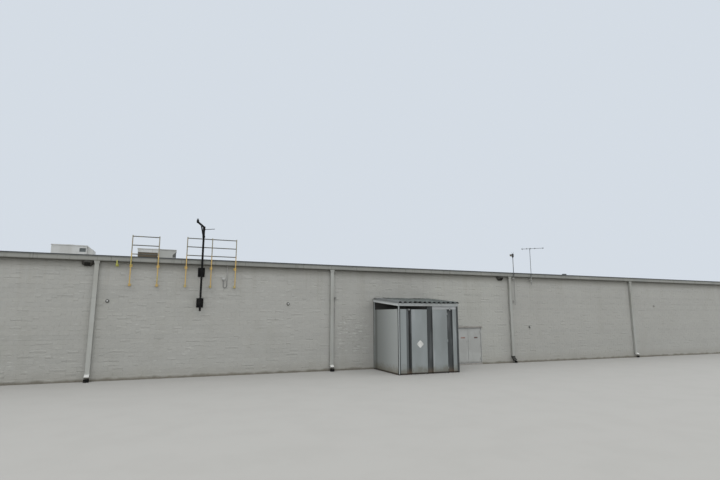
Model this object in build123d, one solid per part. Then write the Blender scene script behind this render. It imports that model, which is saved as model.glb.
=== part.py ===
"""Half-size model of a supermarket building, seen from its service side.

A long hall of painted block walls under a low metal gable roof. The service side has a box gutter
with downspouts, an exit door pair, a lean-to metal shed with a door pair, guard rails and a roof
hoist. All sizes are millimetres of the model, which are half those of the real building.

The origin is on the ground at the middle of the block walls. +X runs along the service wall to the
right, +Y runs from the service wall to the far wall, and +Z is up.
"""

import os
from math import atan2, cos, hypot, radians, sin

from build123d import *

# Hall
end_bay = 5690.0
hoist_bay = 5670.0
shed_bay = 5985.0
antenna_bay = 5390.0
hall_depth = 17070.0
wall_thickness = 100.0
course_height = 101.6
wall_courses = 27
slab_thickness = 50.0
roof_pitch = 0.5 / 12.0
roof_thickness = 62.0
eave_overhang = 25.0
end_overhang = 30.0

# Roof sheeting
seam_spacing = 305.0
seam_height = 19.0
seam_width = 12.0
eave_closure_sheet = 3.0
eave_closure_drop = 34.0
eave_closure_rise = 1.0
ridge_cap_reach = 150.0
ridge_cap_thickness = 5.0
rake_thickness = 6.0
rake_drop = 45.0
rake_rise = 6.0

# Steel frame inside
column_size = 100.0
column_plate_size = 190.0
column_plate_thickness = 12.0
girder_depth = 300.0
girder_flange_width = 90.0
girder_flange_thickness = 10.0
girder_web_thickness = 8.0

# Gutters and downspouts
gutter_width = 75.0
gutter_height = 105.0
gutter_below_eave = 12.0
gutter_sheet = 4.0
gutter_lip = 7.0
downspout_width = 89.0
downspout_depth = 63.5
downspout_bottom = 175.0
downspout_wall = 4.0
collar_overlap = 13.0
collar_straight = 40.0
collar_taper = 30.0
collar_setback = 3.0
shoe_reach = 75.0
shoe_lip = 3.0
shoe_sleeve = 40.0
shoe_angle = 45.0
mouth_depth = 60.0
strap_height = 14.0
strap_thickness = 3.0
strap_tab = 22.0
strap_count = 2
boot_radius = 40.0
boot_wall = 7.0
boot_height = 55.0
boot_offset = 105.0
boot_sides = 12
catch_radius = 58.0
catch_wall = 8.0

# Exit door pair
exit_from_downspout = 1625.0
exit_leaf_width = 454.0
exit_leaf_height = 1009.0
exit_leaf_thickness = 22.0
exit_frame_face = 25.0
exit_frame_depth = 60.0
exit_frame_proud = 4.0
exit_stop = 8.0
threshold_height = 6.0
door_gap = 6.0
meeting_gap = 8.0
drip_cap_reach = 40.0
drip_cap_height = 22.0
drip_cap_overrun = 30.0
drip_cap_sheet = 4.0
drip_cap_nose = 12.0
drip_cap_shoulder = 13.0
push_bar_height = 440.0
push_bar_size = 28.0
push_bar_standoff = 24.0
push_bar_margin = 45.0
push_bar_case = 39.0
push_bar_case_rim = 5.5

# Hinges on all doors
hinge_radius = 8.0
hinge_length = 60.0
hinge_plate_width = 34.0
hinge_plate_thickness = 3.0
hinge_web_width = 9.0
hinge_clearance = 0.3
hinge_end_inset = 110.0

# Lean-to shed
shed_from_downspout = 1245.0
shed_width = 1750.0
shed_reach = 1550.0
shed_panel_top = 1610.0
shed_eave_top = 1790.0
shed_wall_top = 1935.0
shed_fascia_height = 72.0
shed_fascia_sheet = 10.0
shed_roof_overhang = 35.0
shed_roof_sheet = 8.0
shed_post_size = 45.0
shed_panel_setback = 17.5
shed_panel_depth = 24.0
shed_panel_sheet = 6.0
shed_panel_rim = 18.0
shed_left_panel_width = 182.0
shed_right_panel_width = 115.0
shed_left_jamb_width = 144.0
shed_right_jamb_width = 161.0
shed_mullion_width = 155.0
shed_mullion_offset = 31.0
shed_jamb_depth = 60.0
shed_channel_recess = 22.0
shed_channel_flange = 14.0
shed_jamb_strip = 43.0
shed_side_sheet_inset = 8.0
shed_side_rail_depth = 24.0
shed_side_rail_height = 30.0
shed_leaf_thickness = 24.0
shed_leaf_lift = 15.0
pivot_cap_radius = 32.0
pivot_cap_drop = 12.0
pivot_cap_proud = 6.0
pivot_hub_radius = 18.0
pivot_sides = 16
corrugation_pitch = 140.0
corrugation_height = 22.0
corrugation_valley_share = 0.25
corrugation_flank_share = 0.15
corrugation_crest_share = 0.3
rafter_width = 40.0
rafter_depth = 60.0

# Guard rails on the service wall
rail_pipe_radius = 12.0
rail_pipe_sides = 8
rail_standoff = 95.0
rail_post_spacing = 585.0
rail_count = 3
rail_spacing = 211.0
rail_post_cap = 30.0
left_rail_top = 3294.0
right_rail_top = 3322.0
left_rail_from_downspout = 700.0
right_rail_from_downspout = 1915.0
stub_from_downspout = 410.0
rail_upper_bracket = 2605.0
rail_lower_bracket = 2155.0
rail_post_below = 35.0
bracket_plate_size = 60.0
bracket_plate_thickness = 8.0
bracket_arm_size = 26.0
stub_height = 120.0

# Roof hoist
hoist_from_downspout = 2278.0
hoist_standoff = 160.0
mast_radius = 25.0
mast_bottom = 1555.0
mast_top = 3590.0
mast_clearance = 0.3
hoist_plate_width = 160.0
hoist_plate_height = 225.0
hoist_plate_thickness = 14.0
hoist_upper_plate = 2500.0
hoist_lower_plate = 1755.0
hoist_sleeve_wall = 14.0
hoist_sleeve_length = 90.0
hoist_arm_thickness = 30.0
hoist_arm_root = 100.0
collar_height = 14.0
collar_rim = 12.0
boom_reach = 545.0
boom_rise = 30.0
boom_heading = 19.5
boom_size = 34.0
boom_cap_rim = 6.0
boom_cap_skirt = 60.0
brace_drop = 232.0
brace_reach = 250.0
brace_size = 24.0
brace_shoe_rim = 8.0
brace_shoe_height = 44.0
handle_length = 232.0
handle_rise = 30.0
handle_drop = 40.0
handle_radius = 7.0
sheave_radius = 27.0
sheave_rise = 20.0
sheave_groove = 7.0
sheave_width = 18.0
sheave_gap = 2.0
cheek_thickness = 7.0
cheek_root_radius = 20.0
cheek_root_reach = 48.0
cheek_middle_radius = 26.0
cheek_tip_radius = 12.0
cheek_tip_rise = 66.0
keeper_radius = 5.0
hub_radius = 9.0
wheel_sides = 16
sleeve_sides = 20
pin_sides = 10

# Lights, pole, antenna and fittings on the service wall
light_width = 240.0
light_height = 118.0
light_depth = 115.0
light_foot_depth = 26.0
light_front_height = 34.0
light_below_gutter = 12.0
light_lens_margin = 18.0
light_lens_recess = 6.0
light_1_from_downspout = 190.0
light_3_from_downspout = 355.0
pole_radius = 10.0
pole_sides = 8
pole_standoff = 98.0
pole_from_downspout = 131.0
pole_bottom = 1780.0
pole_top = 3374.0
camera_radius = 34.0
camera_height = 96.0
camera_dome_radius = 26.0
camera_dome_height = 30.0
sensor_radius = 26.0
sensor_height = 60.0
sensor_reach = 84.0
sensor_arm_size = 12.0
whip_radius = 3.0
whip_sides = 5
housing_sides = 16
whip_length = 75.0
whip_lean = 35.0
antenna_from_downspout = 840.0
antenna_mast_radius = 8.0
antenna_bottom = 2430.0
antenna_top = 3645.0
antenna_heading = -42.0
antenna_boom_left = 257.0
antenna_boom_right = 433.0
antenna_boom_size = 12.0
antenna_element_places = (-232.0, -87.0, 22.0, 158.0, 408.0)
antenna_longest_element = 460.0
antenna_element_step = 55.0
antenna_element_size = 7.0
antenna_block_length = 30.0
antenna_block_size = 26.0
clamp_size = 34.0
clamp_above_end = 120.0
clamp_below_gutter = 60.0
wall_cap_radius = 42.0
wall_cap_rim = 10.0
wall_cap_depth = 34.0
wall_cap_dome_radius = 36.0
wall_cap_crown_radius = 20.0
wall_cap_sides = 12
cap_1_from_downspout = 270.0
cap_1_height = 1775.0
cap_2_from_downspout = 1195.0
cap_2_height = 1750.0
cap_3_from_downspout = 740.0
cap_3_height = 1095.0
cap_4_from_downspout = 1195.0
cap_4_height = 1810.0
conduit_radius = 7.0
conduit_sides = 8
conduit_standoff = 4.0
outlet_box_size = 60.0
outlet_box_depth = 36.0
loop_outlet_from_downspout = 2812.0
loop_outlet_height = 2355.0
loop_spread = 85.0
loop_bottom = 2135.0
riser_outlet_from_downspout = 95.0
riser_outlet_height = 1915.0
riser_bottom = 1210.0

# Rooftop plant
unit_behind_wall = 4500.0
unit_depth = 720.0
unit_height = 445.0
curb_height = 163.0
curb_inset = 40.0
left_unit_width = 960.0
right_unit_width = 1165.0
left_unit_from_downspout = -1870.0
right_unit_from_downspout = 535.0
unit_lid_height = 26.0
unit_lid_overhang = 12.0
unit_base_rail = 40.0
unit_rail_inset = 6.0
grille_recess = 22.0
slat_pitch = 38.0
slat_thickness = 8.0
slat_setback = 3.0
slat_margin = 4.0
slat_bite = 2.0
left_grille_from_left = 770.0
left_grille_width = 170.0
left_grille_bottom = 262.0
left_grille_top = 380.0
right_grille_from_left = 24.0
right_grille_width = 590.0
right_grille_bottom = 56.0
right_grille_top = 342.0
end_hood_reach = 165.0
end_hood_drop = 95.0
end_hood_height = 250.0
end_hood_setback = 60.0
front_hood_from_left = 1050.0
front_hood_width = 100.0
front_hood_height = 150.0
front_hood_reach = 70.0
front_hood_bottom = 56.0
fan_radius = 190.0
fan_ring_height = 30.0
fan_ring_wall = 8.0
fan_ring_sides = 24
vent_behind_wall = 3000.0
vent_radius = 52.0
vent_height = 250.0
vent_cap_radius = 88.0
vent_cap_height = 60.0
vent_sides = 16
vent_flashing_radius = 84.0
vent_flashing_height = 40.0
vent_from_downspout = 60.0

# Levels and lines that follow from the sizes above
hall_length = 2 * end_bay + hoist_bay + shed_bay + antenna_bay
wall_height = wall_courses * course_height
left_end = -hall_length / 2
right_end = hall_length / 2
rear_face = -hall_depth / 2
front_face = hall_depth / 2
downspout_1 = left_end + end_bay
downspout_2 = downspout_1 + hoist_bay
downspout_3 = downspout_2 + shed_bay
downspout_4 = downspout_3 + antenna_bay
bay_lines = [downspout_1, downspout_2, downspout_3, downspout_4]
slope_angle = atan2(roof_pitch, 1.0)
eave_top = wall_height + roof_thickness - eave_overhang * roof_pitch
gutter_top = eave_top - gutter_below_eave
gutter_bottom = gutter_top - gutter_height


def underside(y):
    """Height of the underside of the roof at a distance y from the middle of the hall."""
    return wall_height + (hall_depth / 2 - abs(y)) * roof_pitch


def roof_surface(y):
    """Height of the flat of the roof sheets at a distance y from the middle of the hall."""
    return underside(y) + roof_thickness


def block(x0, x1, y0, y1, z0, z1):
    """A box between two corners."""
    middle = ((x0 + x1) / 2, (y0 + y1) / 2, (z0 + z1) / 2)
    return Pos(*middle) * Box(x1 - x0, y1 - y0, z1 - z0)


def rod(start, end, radius):
    """A round bar between two points."""
    axis = Vector(*end) - Vector(*start)
    plane = Plane(origin=start, z_dir=axis)
    return extrude(plane * Circle(radius), amount=axis.length)


def bar(start, end, radius, sides):
    """A bar of few sides between two points, its radius measured to the corners."""
    axis = Vector(*end) - Vector(*start)
    plane = Plane(origin=start, z_dir=axis)
    return extrude(plane * RegularPolygon(radius, sides), amount=axis.length)


def taper(start, end, start_radius, end_radius, sides):
    """A bar of few sides that narrows or widens from its start to its end."""
    axis = Vector(*end) - Vector(*start)
    foot = Plane(origin=start, z_dir=axis)
    foot_face = foot * RegularPolygon(start_radius, sides)
    return loft([foot_face, foot.offset(axis.length) * RegularPolygon(end_radius, sides)], ruled=True)


def along_x(points, x0, x1):
    """A closed outline of (y, z) points, extruded along X."""
    outline = Polyline(*[(x0, y, z) for y, z in points], close=True)
    return extrude(make_face(outline), amount=x1 - x0, dir=(1, 0, 0))


def along_y(points, y0, y1):
    """A closed outline of (x, z) points, extruded along Y."""
    outline = Polyline(*[(x, y0, z) for x, z in points], close=True)
    return extrude(make_face(outline), amount=y1 - y0, dir=(0, 1, 0))


def joined(pieces):
    """Pieces that are welded or bent from one sheet, as one solid."""
    whole = pieces[0]
    for piece in pieces[1:]:
        whole = whole + piece
    return whole


def to_far_side(piece):
    """The same piece on the far wall."""
    return mirror(piece, about=Plane.XZ)


def save(name, *pieces):
    """Write one named sub-part, as one or more separate solids."""
    solids = [solid for piece in pieces for solid in piece.solids()]
    export_step(Compound(children=solids), f"parts/{name}.step")


os.makedirs("parts", exist_ok=True)


# Floor and block walls
exit_width = 2 * exit_leaf_width + meeting_gap + 2 * door_gap
exit_middle = downspout_3 - exit_from_downspout
exit_left = exit_middle - exit_width / 2
exit_right = exit_middle + exit_width / 2
exit_leaf_bottom = slab_thickness + threshold_height + door_gap
exit_head = exit_leaf_bottom + exit_leaf_height + door_gap
opening_left = exit_left - exit_frame_face
opening_right = exit_right + exit_frame_face
opening_top = exit_head + exit_frame_face


def long_wall(x0, x1, z0):
    """A stretch of the service wall, its top cut to the slope of the roof."""
    inner = rear_face + wall_thickness
    foot = [(rear_face, z0), (inner, z0)]
    top = [(inner, underside(inner)), (rear_face, underside(rear_face))]
    return along_x(foot + top, x0, x1)


def gable_wall(x0):
    """An end wall, which fits between the long walls and rises to the ridge."""
    inner = hall_depth / 2 - wall_thickness
    foot = [(-inner, 0), (inner, 0)]
    top = [(inner, underside(inner)), (0, underside(0)), (-inner, underside(inner))]
    return along_x(foot + top, x0, x0 + wall_thickness)


inside_left = left_end + wall_thickness
inside_right = right_end - wall_thickness
inside_rear = rear_face + wall_thickness
inside_front = front_face - wall_thickness
doorway_floor = block(opening_left, opening_right, rear_face, inside_rear, 0, slab_thickness)
save(
    "floor_slab",
    block(inside_left, inside_right, inside_rear, inside_front, 0, slab_thickness) + doorway_floor,
)
save("rear_wall_left", long_wall(left_end, opening_left, 0))
save("rear_wall_right", long_wall(opening_right, right_end, 0))
save("rear_wall_over_door", long_wall(opening_left, opening_right, opening_top))
save("front_wall", to_far_side(long_wall(left_end, right_end, 0)))
save("end_wall_left", gable_wall(left_end))
save("end_wall_right", gable_wall(inside_right))


# Standing-seam roof, ridge cap and rake trims
roof_left = left_end - end_overhang
roof_right = right_end + end_overhang
seam_count = int((roof_right - roof_left - seam_width) // seam_spacing) + 1
first_seam = -(seam_count - 1) * seam_spacing / 2


def roof_slope():
    """One roof slope: a slab with upstanding seams, and a closure strip across their eave ends."""
    low = underside(0)
    flat = roof_surface(0)
    section = [(roof_right, low), (roof_left, low), (roof_left, flat)]
    for number in range(seam_count):
        left = first_seam + number * seam_spacing - seam_width / 2
        right = left + seam_width
        section += [(left, flat), (left, flat + seam_height), (right, flat + seam_height), (right, flat)]
    section.append((roof_right, flat))
    outline = Polyline(*[(x, 0, z) for x, z in section], close=True)
    run = hall_depth / 2 + eave_overhang
    downhill = (0, -cos(slope_angle), -sin(slope_angle))
    slab = extrude(make_face(outline), amount=run / cos(slope_angle), dir=downhill)
    closure_foot = eave_top - eave_closure_drop
    closure_top = eave_top + seam_height + eave_closure_rise
    closure = block(roof_left, roof_right, -run - eave_closure_sheet, -run, closure_foot, closure_top)
    return slab + closure


rear_slope = roof_slope()
save("roof_rear", rear_slope)
save("roof_front", to_far_side(rear_slope))

seam_crest = roof_surface(0) + seam_height
cap_drop = ridge_cap_reach * roof_pitch
ridge_section = [
    (-ridge_cap_reach, seam_crest - cap_drop),
    (0, seam_crest),
    (ridge_cap_reach, seam_crest - cap_drop),
    (ridge_cap_reach, seam_crest - cap_drop + ridge_cap_thickness),
    (0, seam_crest + ridge_cap_thickness),
    (-ridge_cap_reach, seam_crest - cap_drop + ridge_cap_thickness),
]
save("ridge_cap", along_x(ridge_section, roof_left, roof_right))


def rake_trim(x0):
    """The folded sheet that covers the roof edge at one end of the hall."""
    reach = hall_depth / 2 + eave_overhang + eave_closure_sheet
    crest = underside(0) + roof_thickness + seam_height + rake_rise
    foot = underside(0) - rake_drop
    fall = reach * roof_pitch
    section = [(-reach, foot - fall), (0, foot), (reach, foot - fall)]
    section += [(reach, crest - fall), (0, crest), (-reach, crest - fall)]
    return along_x(section, x0, x0 + rake_thickness)


save("rake_trims", rake_trim(roof_left - rake_thickness), rake_trim(roof_right))


# Steel columns and girders on the bay lines
girder_rear = inside_rear
girder_front = inside_front
column_places = [-hall_depth / 6, hall_depth / 6]
half_web = girder_web_thickness / 2
half_flange = girder_flange_width / 2


def girder_band(top_offset, bottom_offset, x0, x1):
    """A band of the girder that follows both roof slopes, measured down from the roof."""
    upper = [(y, underside(y) - top_offset) for y in (girder_rear, 0, girder_front)]
    lower = [(y, underside(y) - bottom_offset) for y in (girder_front, 0, girder_rear)]
    return along_x(upper + lower, x0, x1)


def girder(x):
    """A steel I-section girder from wall to wall."""
    top_flange = girder_band(0, girder_flange_thickness, x - half_flange, x + half_flange)
    web = girder_band(0, girder_depth, x - half_web, x + half_web)
    foot = girder_depth - girder_flange_thickness
    bottom_flange = girder_band(foot, girder_depth, x - half_flange, x + half_flange)
    return joined([top_flange, web, bottom_flange])


def column(x, y):
    """A square tube column with a base plate and a cap plate."""
    top = underside(abs(y) + column_plate_size / 2) - girder_depth
    half = column_size / 2
    plate = column_plate_size / 2
    shaft = block(x - half, x + half, y - half, y + half, slab_thickness, top)
    base_top = slab_thickness + column_plate_thickness
    base = block(x - plate, x + plate, y - plate, y + plate, slab_thickness, base_top)
    cap_bottom = top - column_plate_thickness
    cap = block(x - half_flange, x + half_flange, y - plate, y + plate, cap_bottom, top)
    return joined([shaft, base, cap])


save("roof_girders", *[girder(x) for x in bay_lines])
save("steel_columns", *[column(x, y) for x in bay_lines for y in column_places])


# Box gutters
def box_gutter():
    """The folded sheet gutter under the service eave, with closed ends."""
    back = rear_face
    front = rear_face - gutter_width
    back_top = underside(rear_face - eave_overhang) - gutter_lip
    section = [
        (back, back_top),
        (back, gutter_bottom),
        (front, gutter_bottom),
        (front, gutter_top - gutter_lip),
        (front - gutter_lip, gutter_top - gutter_lip),
        (front - gutter_lip, gutter_top),
        (front + gutter_sheet, gutter_top),
        (front + gutter_sheet, gutter_bottom + gutter_sheet),
        (back - gutter_sheet, gutter_bottom + gutter_sheet),
        (back - gutter_sheet, back_top),
    ]
    trough = along_x(section, left_end, right_end)
    left_cap = block(left_end, left_end + gutter_sheet, front, back, gutter_bottom, back_top)
    right_cap = block(right_end - gutter_sheet, right_end, front, back, gutter_bottom, back_top)
    return joined([trough, left_cap, right_cap])


rear_gutter = box_gutter()
save("rear_gutter", rear_gutter)
save("front_gutter", to_far_side(rear_gutter))


# Downspouts with straps, shoes and drain boots
spout_y = rear_face - gutter_width / 2
spout_back = spout_y + downspout_depth / 2
spout_front = spout_y - downspout_depth / 2


def collar(x):
    """The tapered outlet that drops from the gutter's bottom round the top of a downspout."""
    half = downspout_width / 2
    wide = half + collar_overlap
    shoulder = gutter_bottom - collar_straight
    neck = shoulder - collar_taper
    right_side = [(x + half, neck), (x + wide, shoulder), (x + wide, gutter_bottom)]
    left_side = [(x - wide, gutter_bottom), (x - wide, shoulder), (x - half, neck)]
    return along_y(right_side + left_side, rear_face - gutter_width + collar_setback, spout_back)


def strap(x, z):
    """A band bent round a downspout, with a tab on the wall at each side."""
    half = downspout_width / 2
    reach = half + strap_thickness
    tab_reach = reach + strap_tab
    top = z + strap_height
    wrap = block(x - reach, x + reach, spout_front - strap_thickness, rear_face, z, top)
    hollow = block(x - half, x + half, spout_back, rear_face - strap_thickness, z, top)
    tabs = block(x - tab_reach, x + tab_reach, rear_face - strap_thickness, rear_face, z, top)
    return wrap - hollow + tabs


def downspout(x):
    """A rectangular pipe from the gutter, strapped to the wall, with a shoe that throws outwards."""
    half = downspout_width / 2
    wide = half + shoe_lip
    pipe = block(x - half, x + half, spout_front, spout_back, downspout_bottom, gutter_bottom)
    lip_front = spout_front - shoe_lip
    sleeve_crest = downspout_bottom + shoe_sleeve
    sleeve = block(x - wide, x + wide, lip_front, spout_back, downspout_bottom, sleeve_crest)
    kick = downspout_bottom - downspout_depth
    toe = lip_front - shoe_reach
    mouth_drop = downspout_depth * sin(radians(shoe_angle))
    shoe_section = [
        (spout_back, downspout_bottom),
        (lip_front, downspout_bottom),
        (toe, kick),
        (toe + mouth_drop, kick - mouth_drop),
    ]
    shoe = along_x(shoe_section, x - wide, x + wide)
    throw = Vector(0, toe - lip_front, kick - downspout_bottom).normalized()
    lip = Vector(x, toe + mouth_drop / 2, kick - mouth_drop / 2)
    mouth_plane = Plane(origin=lip, x_dir=(1, 0, 0), z_dir=throw)
    mouth_face = mouth_plane * Rectangle(2 * (wide - downspout_wall), downspout_depth - 2 * downspout_wall)
    mouth = extrude(mouth_face, amount=mouth_depth, both=True)
    spacing = (gutter_bottom - downspout_bottom) / (strap_count + 1)
    straps = [strap(x, downspout_bottom + number * spacing) for number in range(1, strap_count + 1)]
    return joined([pipe, collar(x), sleeve, shoe] + straps) - mouth


rear_downspouts = [downspout(x) for x in bay_lines]
save("rear_downspouts", *rear_downspouts)
save("front_downspouts", *[to_far_side(spout) for spout in rear_downspouts])


def drain_pipe(x, y, height, radius, wall):
    """A short upright drain pipe in the ground, open at the top."""
    foot, middle, crest = [(x, y, z) for z in (0, height / 2, height)]
    return bar(foot, crest, radius, boot_sides) - bar(middle, crest, radius - wall, boot_sides)


def catch_pipe(x):
    """The wide drain pipe under a downspout's shoe, which rests its lower lip on the rim."""
    mouth_drop = downspout_depth * sin(radians(shoe_angle))
    catch_y = spout_front - shoe_lip - shoe_reach + mouth_drop / 2
    rim = downspout_bottom - downspout_depth - mouth_drop
    return drain_pipe(x, catch_y, rim, catch_radius, catch_wall)


def side_pipe(x):
    """The narrow drain pipe on the wall beside the foot of a downspout."""
    return drain_pipe(x + boot_offset, rear_face - boot_radius, boot_height, boot_radius, boot_wall)


catch_pipes = [catch_pipe(x) for x in (downspout_1, downspout_2)]
side_pipes = [side_pipe(x) for x in (downspout_3, downspout_4)]
save("drain_boots", *catch_pipes, *side_pipes)


# Exit door pair
frame_front = rear_face - exit_frame_proud
frame_back = frame_front + exit_frame_depth
leaf_front = rear_face + exit_stop / 2
leaf_back = leaf_front + exit_leaf_thickness
hinge_y = frame_front - hinge_radius - hinge_clearance


def exit_jamb(side):
    """One steel jamb, rebated so that the leaf closes against a stop."""
    inner = exit_left if side < 0 else exit_right
    outer = inner + side * exit_frame_face
    stop = inner - side * exit_stop
    z0 = slab_thickness
    face = block(min(inner, outer), max(inner, outer), frame_front, frame_back, z0, opening_top)
    rebate = block(min(inner, stop), max(inner, stop), leaf_back + door_gap, frame_back, z0, exit_head)
    return face + rebate


save("exit_door_jambs", exit_jamb(-1), exit_jamb(1))
head = block(exit_left, exit_right, frame_front, frame_back, exit_head, opening_top)
head_stop = block(exit_left + exit_stop, exit_right - exit_stop, leaf_back + door_gap, frame_back,
                  exit_head - exit_stop, exit_head)
save("exit_door_head", head + head_stop)
threshold_section = [
    (frame_front, slab_thickness),
    (frame_back, slab_thickness),
    (frame_back - threshold_height, slab_thickness + threshold_height),
    (frame_front + threshold_height, slab_thickness + threshold_height),
]
save("exit_door_threshold", along_x(threshold_section, exit_left + exit_stop, exit_right - exit_stop))

cap_back = rear_face
cap_front = rear_face - drip_cap_reach
cap_foot = opening_top + drip_cap_sheet
drip_section = [
    (cap_back, cap_foot),
    (cap_front + drip_cap_sheet, cap_foot),
    (cap_front + drip_cap_sheet, cap_foot - drip_cap_nose),
    (cap_front, cap_foot - drip_cap_nose),
    (cap_front, cap_foot + drip_cap_sheet),
    (cap_back - drip_cap_sheet, cap_foot + drip_cap_shoulder),
    (cap_back - drip_cap_sheet, cap_foot + drip_cap_height),
    (cap_back, cap_foot + drip_cap_height),
]
save(
    "exit_door_drip_cap",
    along_x(drip_section, opening_left - drip_cap_overrun, opening_right + drip_cap_overrun),
)


def hinge_knuckles(x, y, face, side, z0, z1):
    """Three hinge knuckles on the axis at (x, y), each with the plate that is screwed to the leaf."""
    pieces = []
    inset = hinge_end_inset
    for z in (z0 + inset, (z0 + z1) / 2, z1 - inset):
        knuckle = Pos(x, y, z) * Cylinder(hinge_radius, hinge_length)
        reach = x + side * hinge_plate_width
        low, high = z - hinge_length / 2, z + hinge_length / 2
        plate = block(min(x, reach), max(x, reach), y, y + hinge_plate_thickness, low, high)
        web_x = x + side * (hinge_plate_width - hinge_web_width)
        web = block(min(web_x, reach), max(web_x, reach), y, face, low, high)
        pieces += [knuckle, plate, web]
    return pieces


def exit_leaf(side):
    """One flush steel leaf, hung on the jamb at the given side."""
    hinge_x = exit_middle + side * (exit_width / 2 - door_gap / 2)
    edge = exit_middle + side * (exit_width / 2 - door_gap)
    meeting = edge - side * exit_leaf_width
    z0, z1 = exit_leaf_bottom, exit_leaf_bottom + exit_leaf_height
    leaf = block(min(edge, meeting), max(edge, meeting), leaf_front, leaf_back, z0, z1)
    return joined([leaf] + hinge_knuckles(hinge_x, hinge_y, leaf_front, -side, z0, z1))


def push_bar(side):
    """The bar across the inside of a leaf, which frees the latch when it is pushed."""
    edge = exit_middle + side * (exit_width / 2 - door_gap - push_bar_margin)
    meeting = exit_middle + side * (meeting_gap / 2 + push_bar_margin)
    x0, x1 = min(edge, meeting), max(edge, meeting)
    z0 = slab_thickness + push_bar_height
    z1 = z0 + push_bar_size
    bar_front = leaf_back + push_bar_standoff / 2
    bar_back = leaf_back + push_bar_standoff
    middle = block(x0, x1, bar_front, bar_back, z0, z1)
    rim = push_bar_case_rim
    left_case = block(x0, x0 + push_bar_case, leaf_back, bar_back + rim, z0 - rim, z1 + rim)
    right_case = block(x1 - push_bar_case, x1, leaf_back, bar_back + rim, z0 - rim, z1 + rim)
    return joined([middle, left_case, right_case])


save("exit_door_left", exit_leaf(-1))
save("exit_door_right", exit_leaf(1))
save("exit_push_bar_left", push_bar(-1))
save("exit_push_bar_right", push_bar(1))


# Lean-to shed
shed_left = downspout_2 + shed_from_downspout
shed_right = shed_left + shed_width
shed_middle = (shed_left + shed_right) / 2
shed_front = rear_face - shed_reach
shed_slope = (shed_wall_top - shed_eave_top) / shed_reach
post_back = shed_front + shed_post_size


def shed_roof_top(y):
    """Height of the crests of the shed roof at a given Y."""
    return shed_eave_top + (y - shed_front) * shed_slope


def shed_rafter_top(y):
    """Height of the rafters' upper face, which the sheets rest on."""
    return shed_roof_top(y) - corrugation_height - shed_roof_sheet


def under_roof(x0, x1, y0, y1, z0):
    """An upright piece cut to the slope of the shed roof, under the rafters."""
    top_0 = shed_rafter_top(y0) - rafter_depth
    top_1 = shed_rafter_top(y1) - rafter_depth
    return along_x([(y0, z0), (y1, z0), (y1, top_1), (y0, top_0)], x0, x1)


wall_post_front = rear_face - shed_post_size
save(
    "shed_posts",
    under_roof(shed_left, shed_left + shed_post_size, shed_front, post_back, 0),
    under_roof(shed_right - shed_post_size, shed_right, shed_front, post_back, 0),
    under_roof(shed_left, shed_left + shed_post_size, wall_post_front, rear_face, 0),
    under_roof(shed_right - shed_post_size, shed_right, wall_post_front, rear_face, 0),
)


def tray(x0, x1, z0, z1, depth):
    """A sheet folded back along its four edges, so that it is a tray open to the inside."""
    front = shed_front + shed_panel_setback
    inner = front + shed_panel_sheet
    rim = shed_panel_rim
    whole = block(x0, x1, front, front + depth, z0, z1)
    return whole - block(x0 + rim, x1 - rim, inner, front + depth, z0 + rim, z1 - rim)


def side_panel(outer, way):
    """A sheet between the posts of one side, stiffened by a rail along its head and its foot."""
    face = outer + way * shed_side_sheet_inset
    back = face + way * shed_panel_sheet
    rail_back = back + way * shed_side_rail_depth
    x0, x1 = min(face, back), max(face, back)
    r0, r1 = min(back, rail_back), max(back, rail_back)
    sheet = block(x0, x1, post_back, wall_post_front, 0, shed_panel_top)
    rail = shed_side_rail_height
    foot = block(r0, r1, post_back, wall_post_front, 0, rail)
    head = block(r0, r1, post_back, wall_post_front, shed_panel_top - rail, shed_panel_top)
    return joined([sheet, foot, head])


save("shed_side_panels", side_panel(shed_left, 1), side_panel(shed_right, -1))

end_panel_left = shed_left + shed_post_size
end_panel_right = shed_right - shed_post_size
jamb_left = end_panel_left + shed_left_panel_width
jamb_right = end_panel_right - shed_right_panel_width
panel_front = shed_front + shed_panel_setback
save(
    "shed_front_panels",
    tray(end_panel_left, jamb_left, 0, shed_panel_top, shed_panel_depth),
    tray(jamb_right, end_panel_right, 0, shed_panel_top, shed_panel_depth),
)


def channel(post, x0, x1, left_flange, right_flange):
    """An upright post hollowed into a channel, with its hollow side outwards."""
    recess_back = panel_front + shed_channel_recess
    return post - block(x0 + left_flange, x1 - right_flange, panel_front, recess_back, 0, shed_wall_top)


def short_post(x0, x1):
    """An upright that ends level with the panels."""
    return block(x0, x1, panel_front, panel_front + shed_jamb_depth, 0, shed_panel_top)


def pivot_cap(x0, x1):
    """The round cap on the top of a door channel, on a hub in the hollow between its flanges."""
    middle = (x0 + x1) / 2
    z = shed_panel_top - pivot_cap_drop
    hub_z = shed_panel_top - pivot_hub_radius
    front = panel_front - pivot_cap_proud
    cap = bar((middle, front, z), (middle, panel_front, z), pivot_cap_radius, pivot_sides)
    hub_back = panel_front + shed_jamb_depth / 2
    hub = bar((middle, panel_front, hub_z), (middle, hub_back, hub_z), pivot_hub_radius, pivot_sides)
    return cap + hub


door_left = jamb_left + shed_left_jamb_width
door_right = jamb_right - shed_right_jamb_width
mullion_middle = shed_middle + shed_mullion_offset
mullion_left = mullion_middle - shed_mullion_width / 2
mullion_right = mullion_middle + shed_mullion_width / 2
flange = shed_channel_flange
left_hollow = jamb_left + shed_jamb_strip
left_channel = channel(short_post(jamb_left, door_left), jamb_left, door_left, shed_jamb_strip, flange)
mullion_back = panel_front + shed_jamb_depth
tall_post = under_roof(mullion_left, mullion_right, panel_front, mullion_back, 0)
right_channel = channel(short_post(door_right, jamb_right), door_right, jamb_right, flange, flange)
save(
    "shed_door_jambs",
    left_channel + pivot_cap(left_hollow, door_left - flange),
    channel(tall_post, mullion_left, mullion_right, flange, flange),
    right_channel + pivot_cap(door_right, jamb_right),
)

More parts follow.
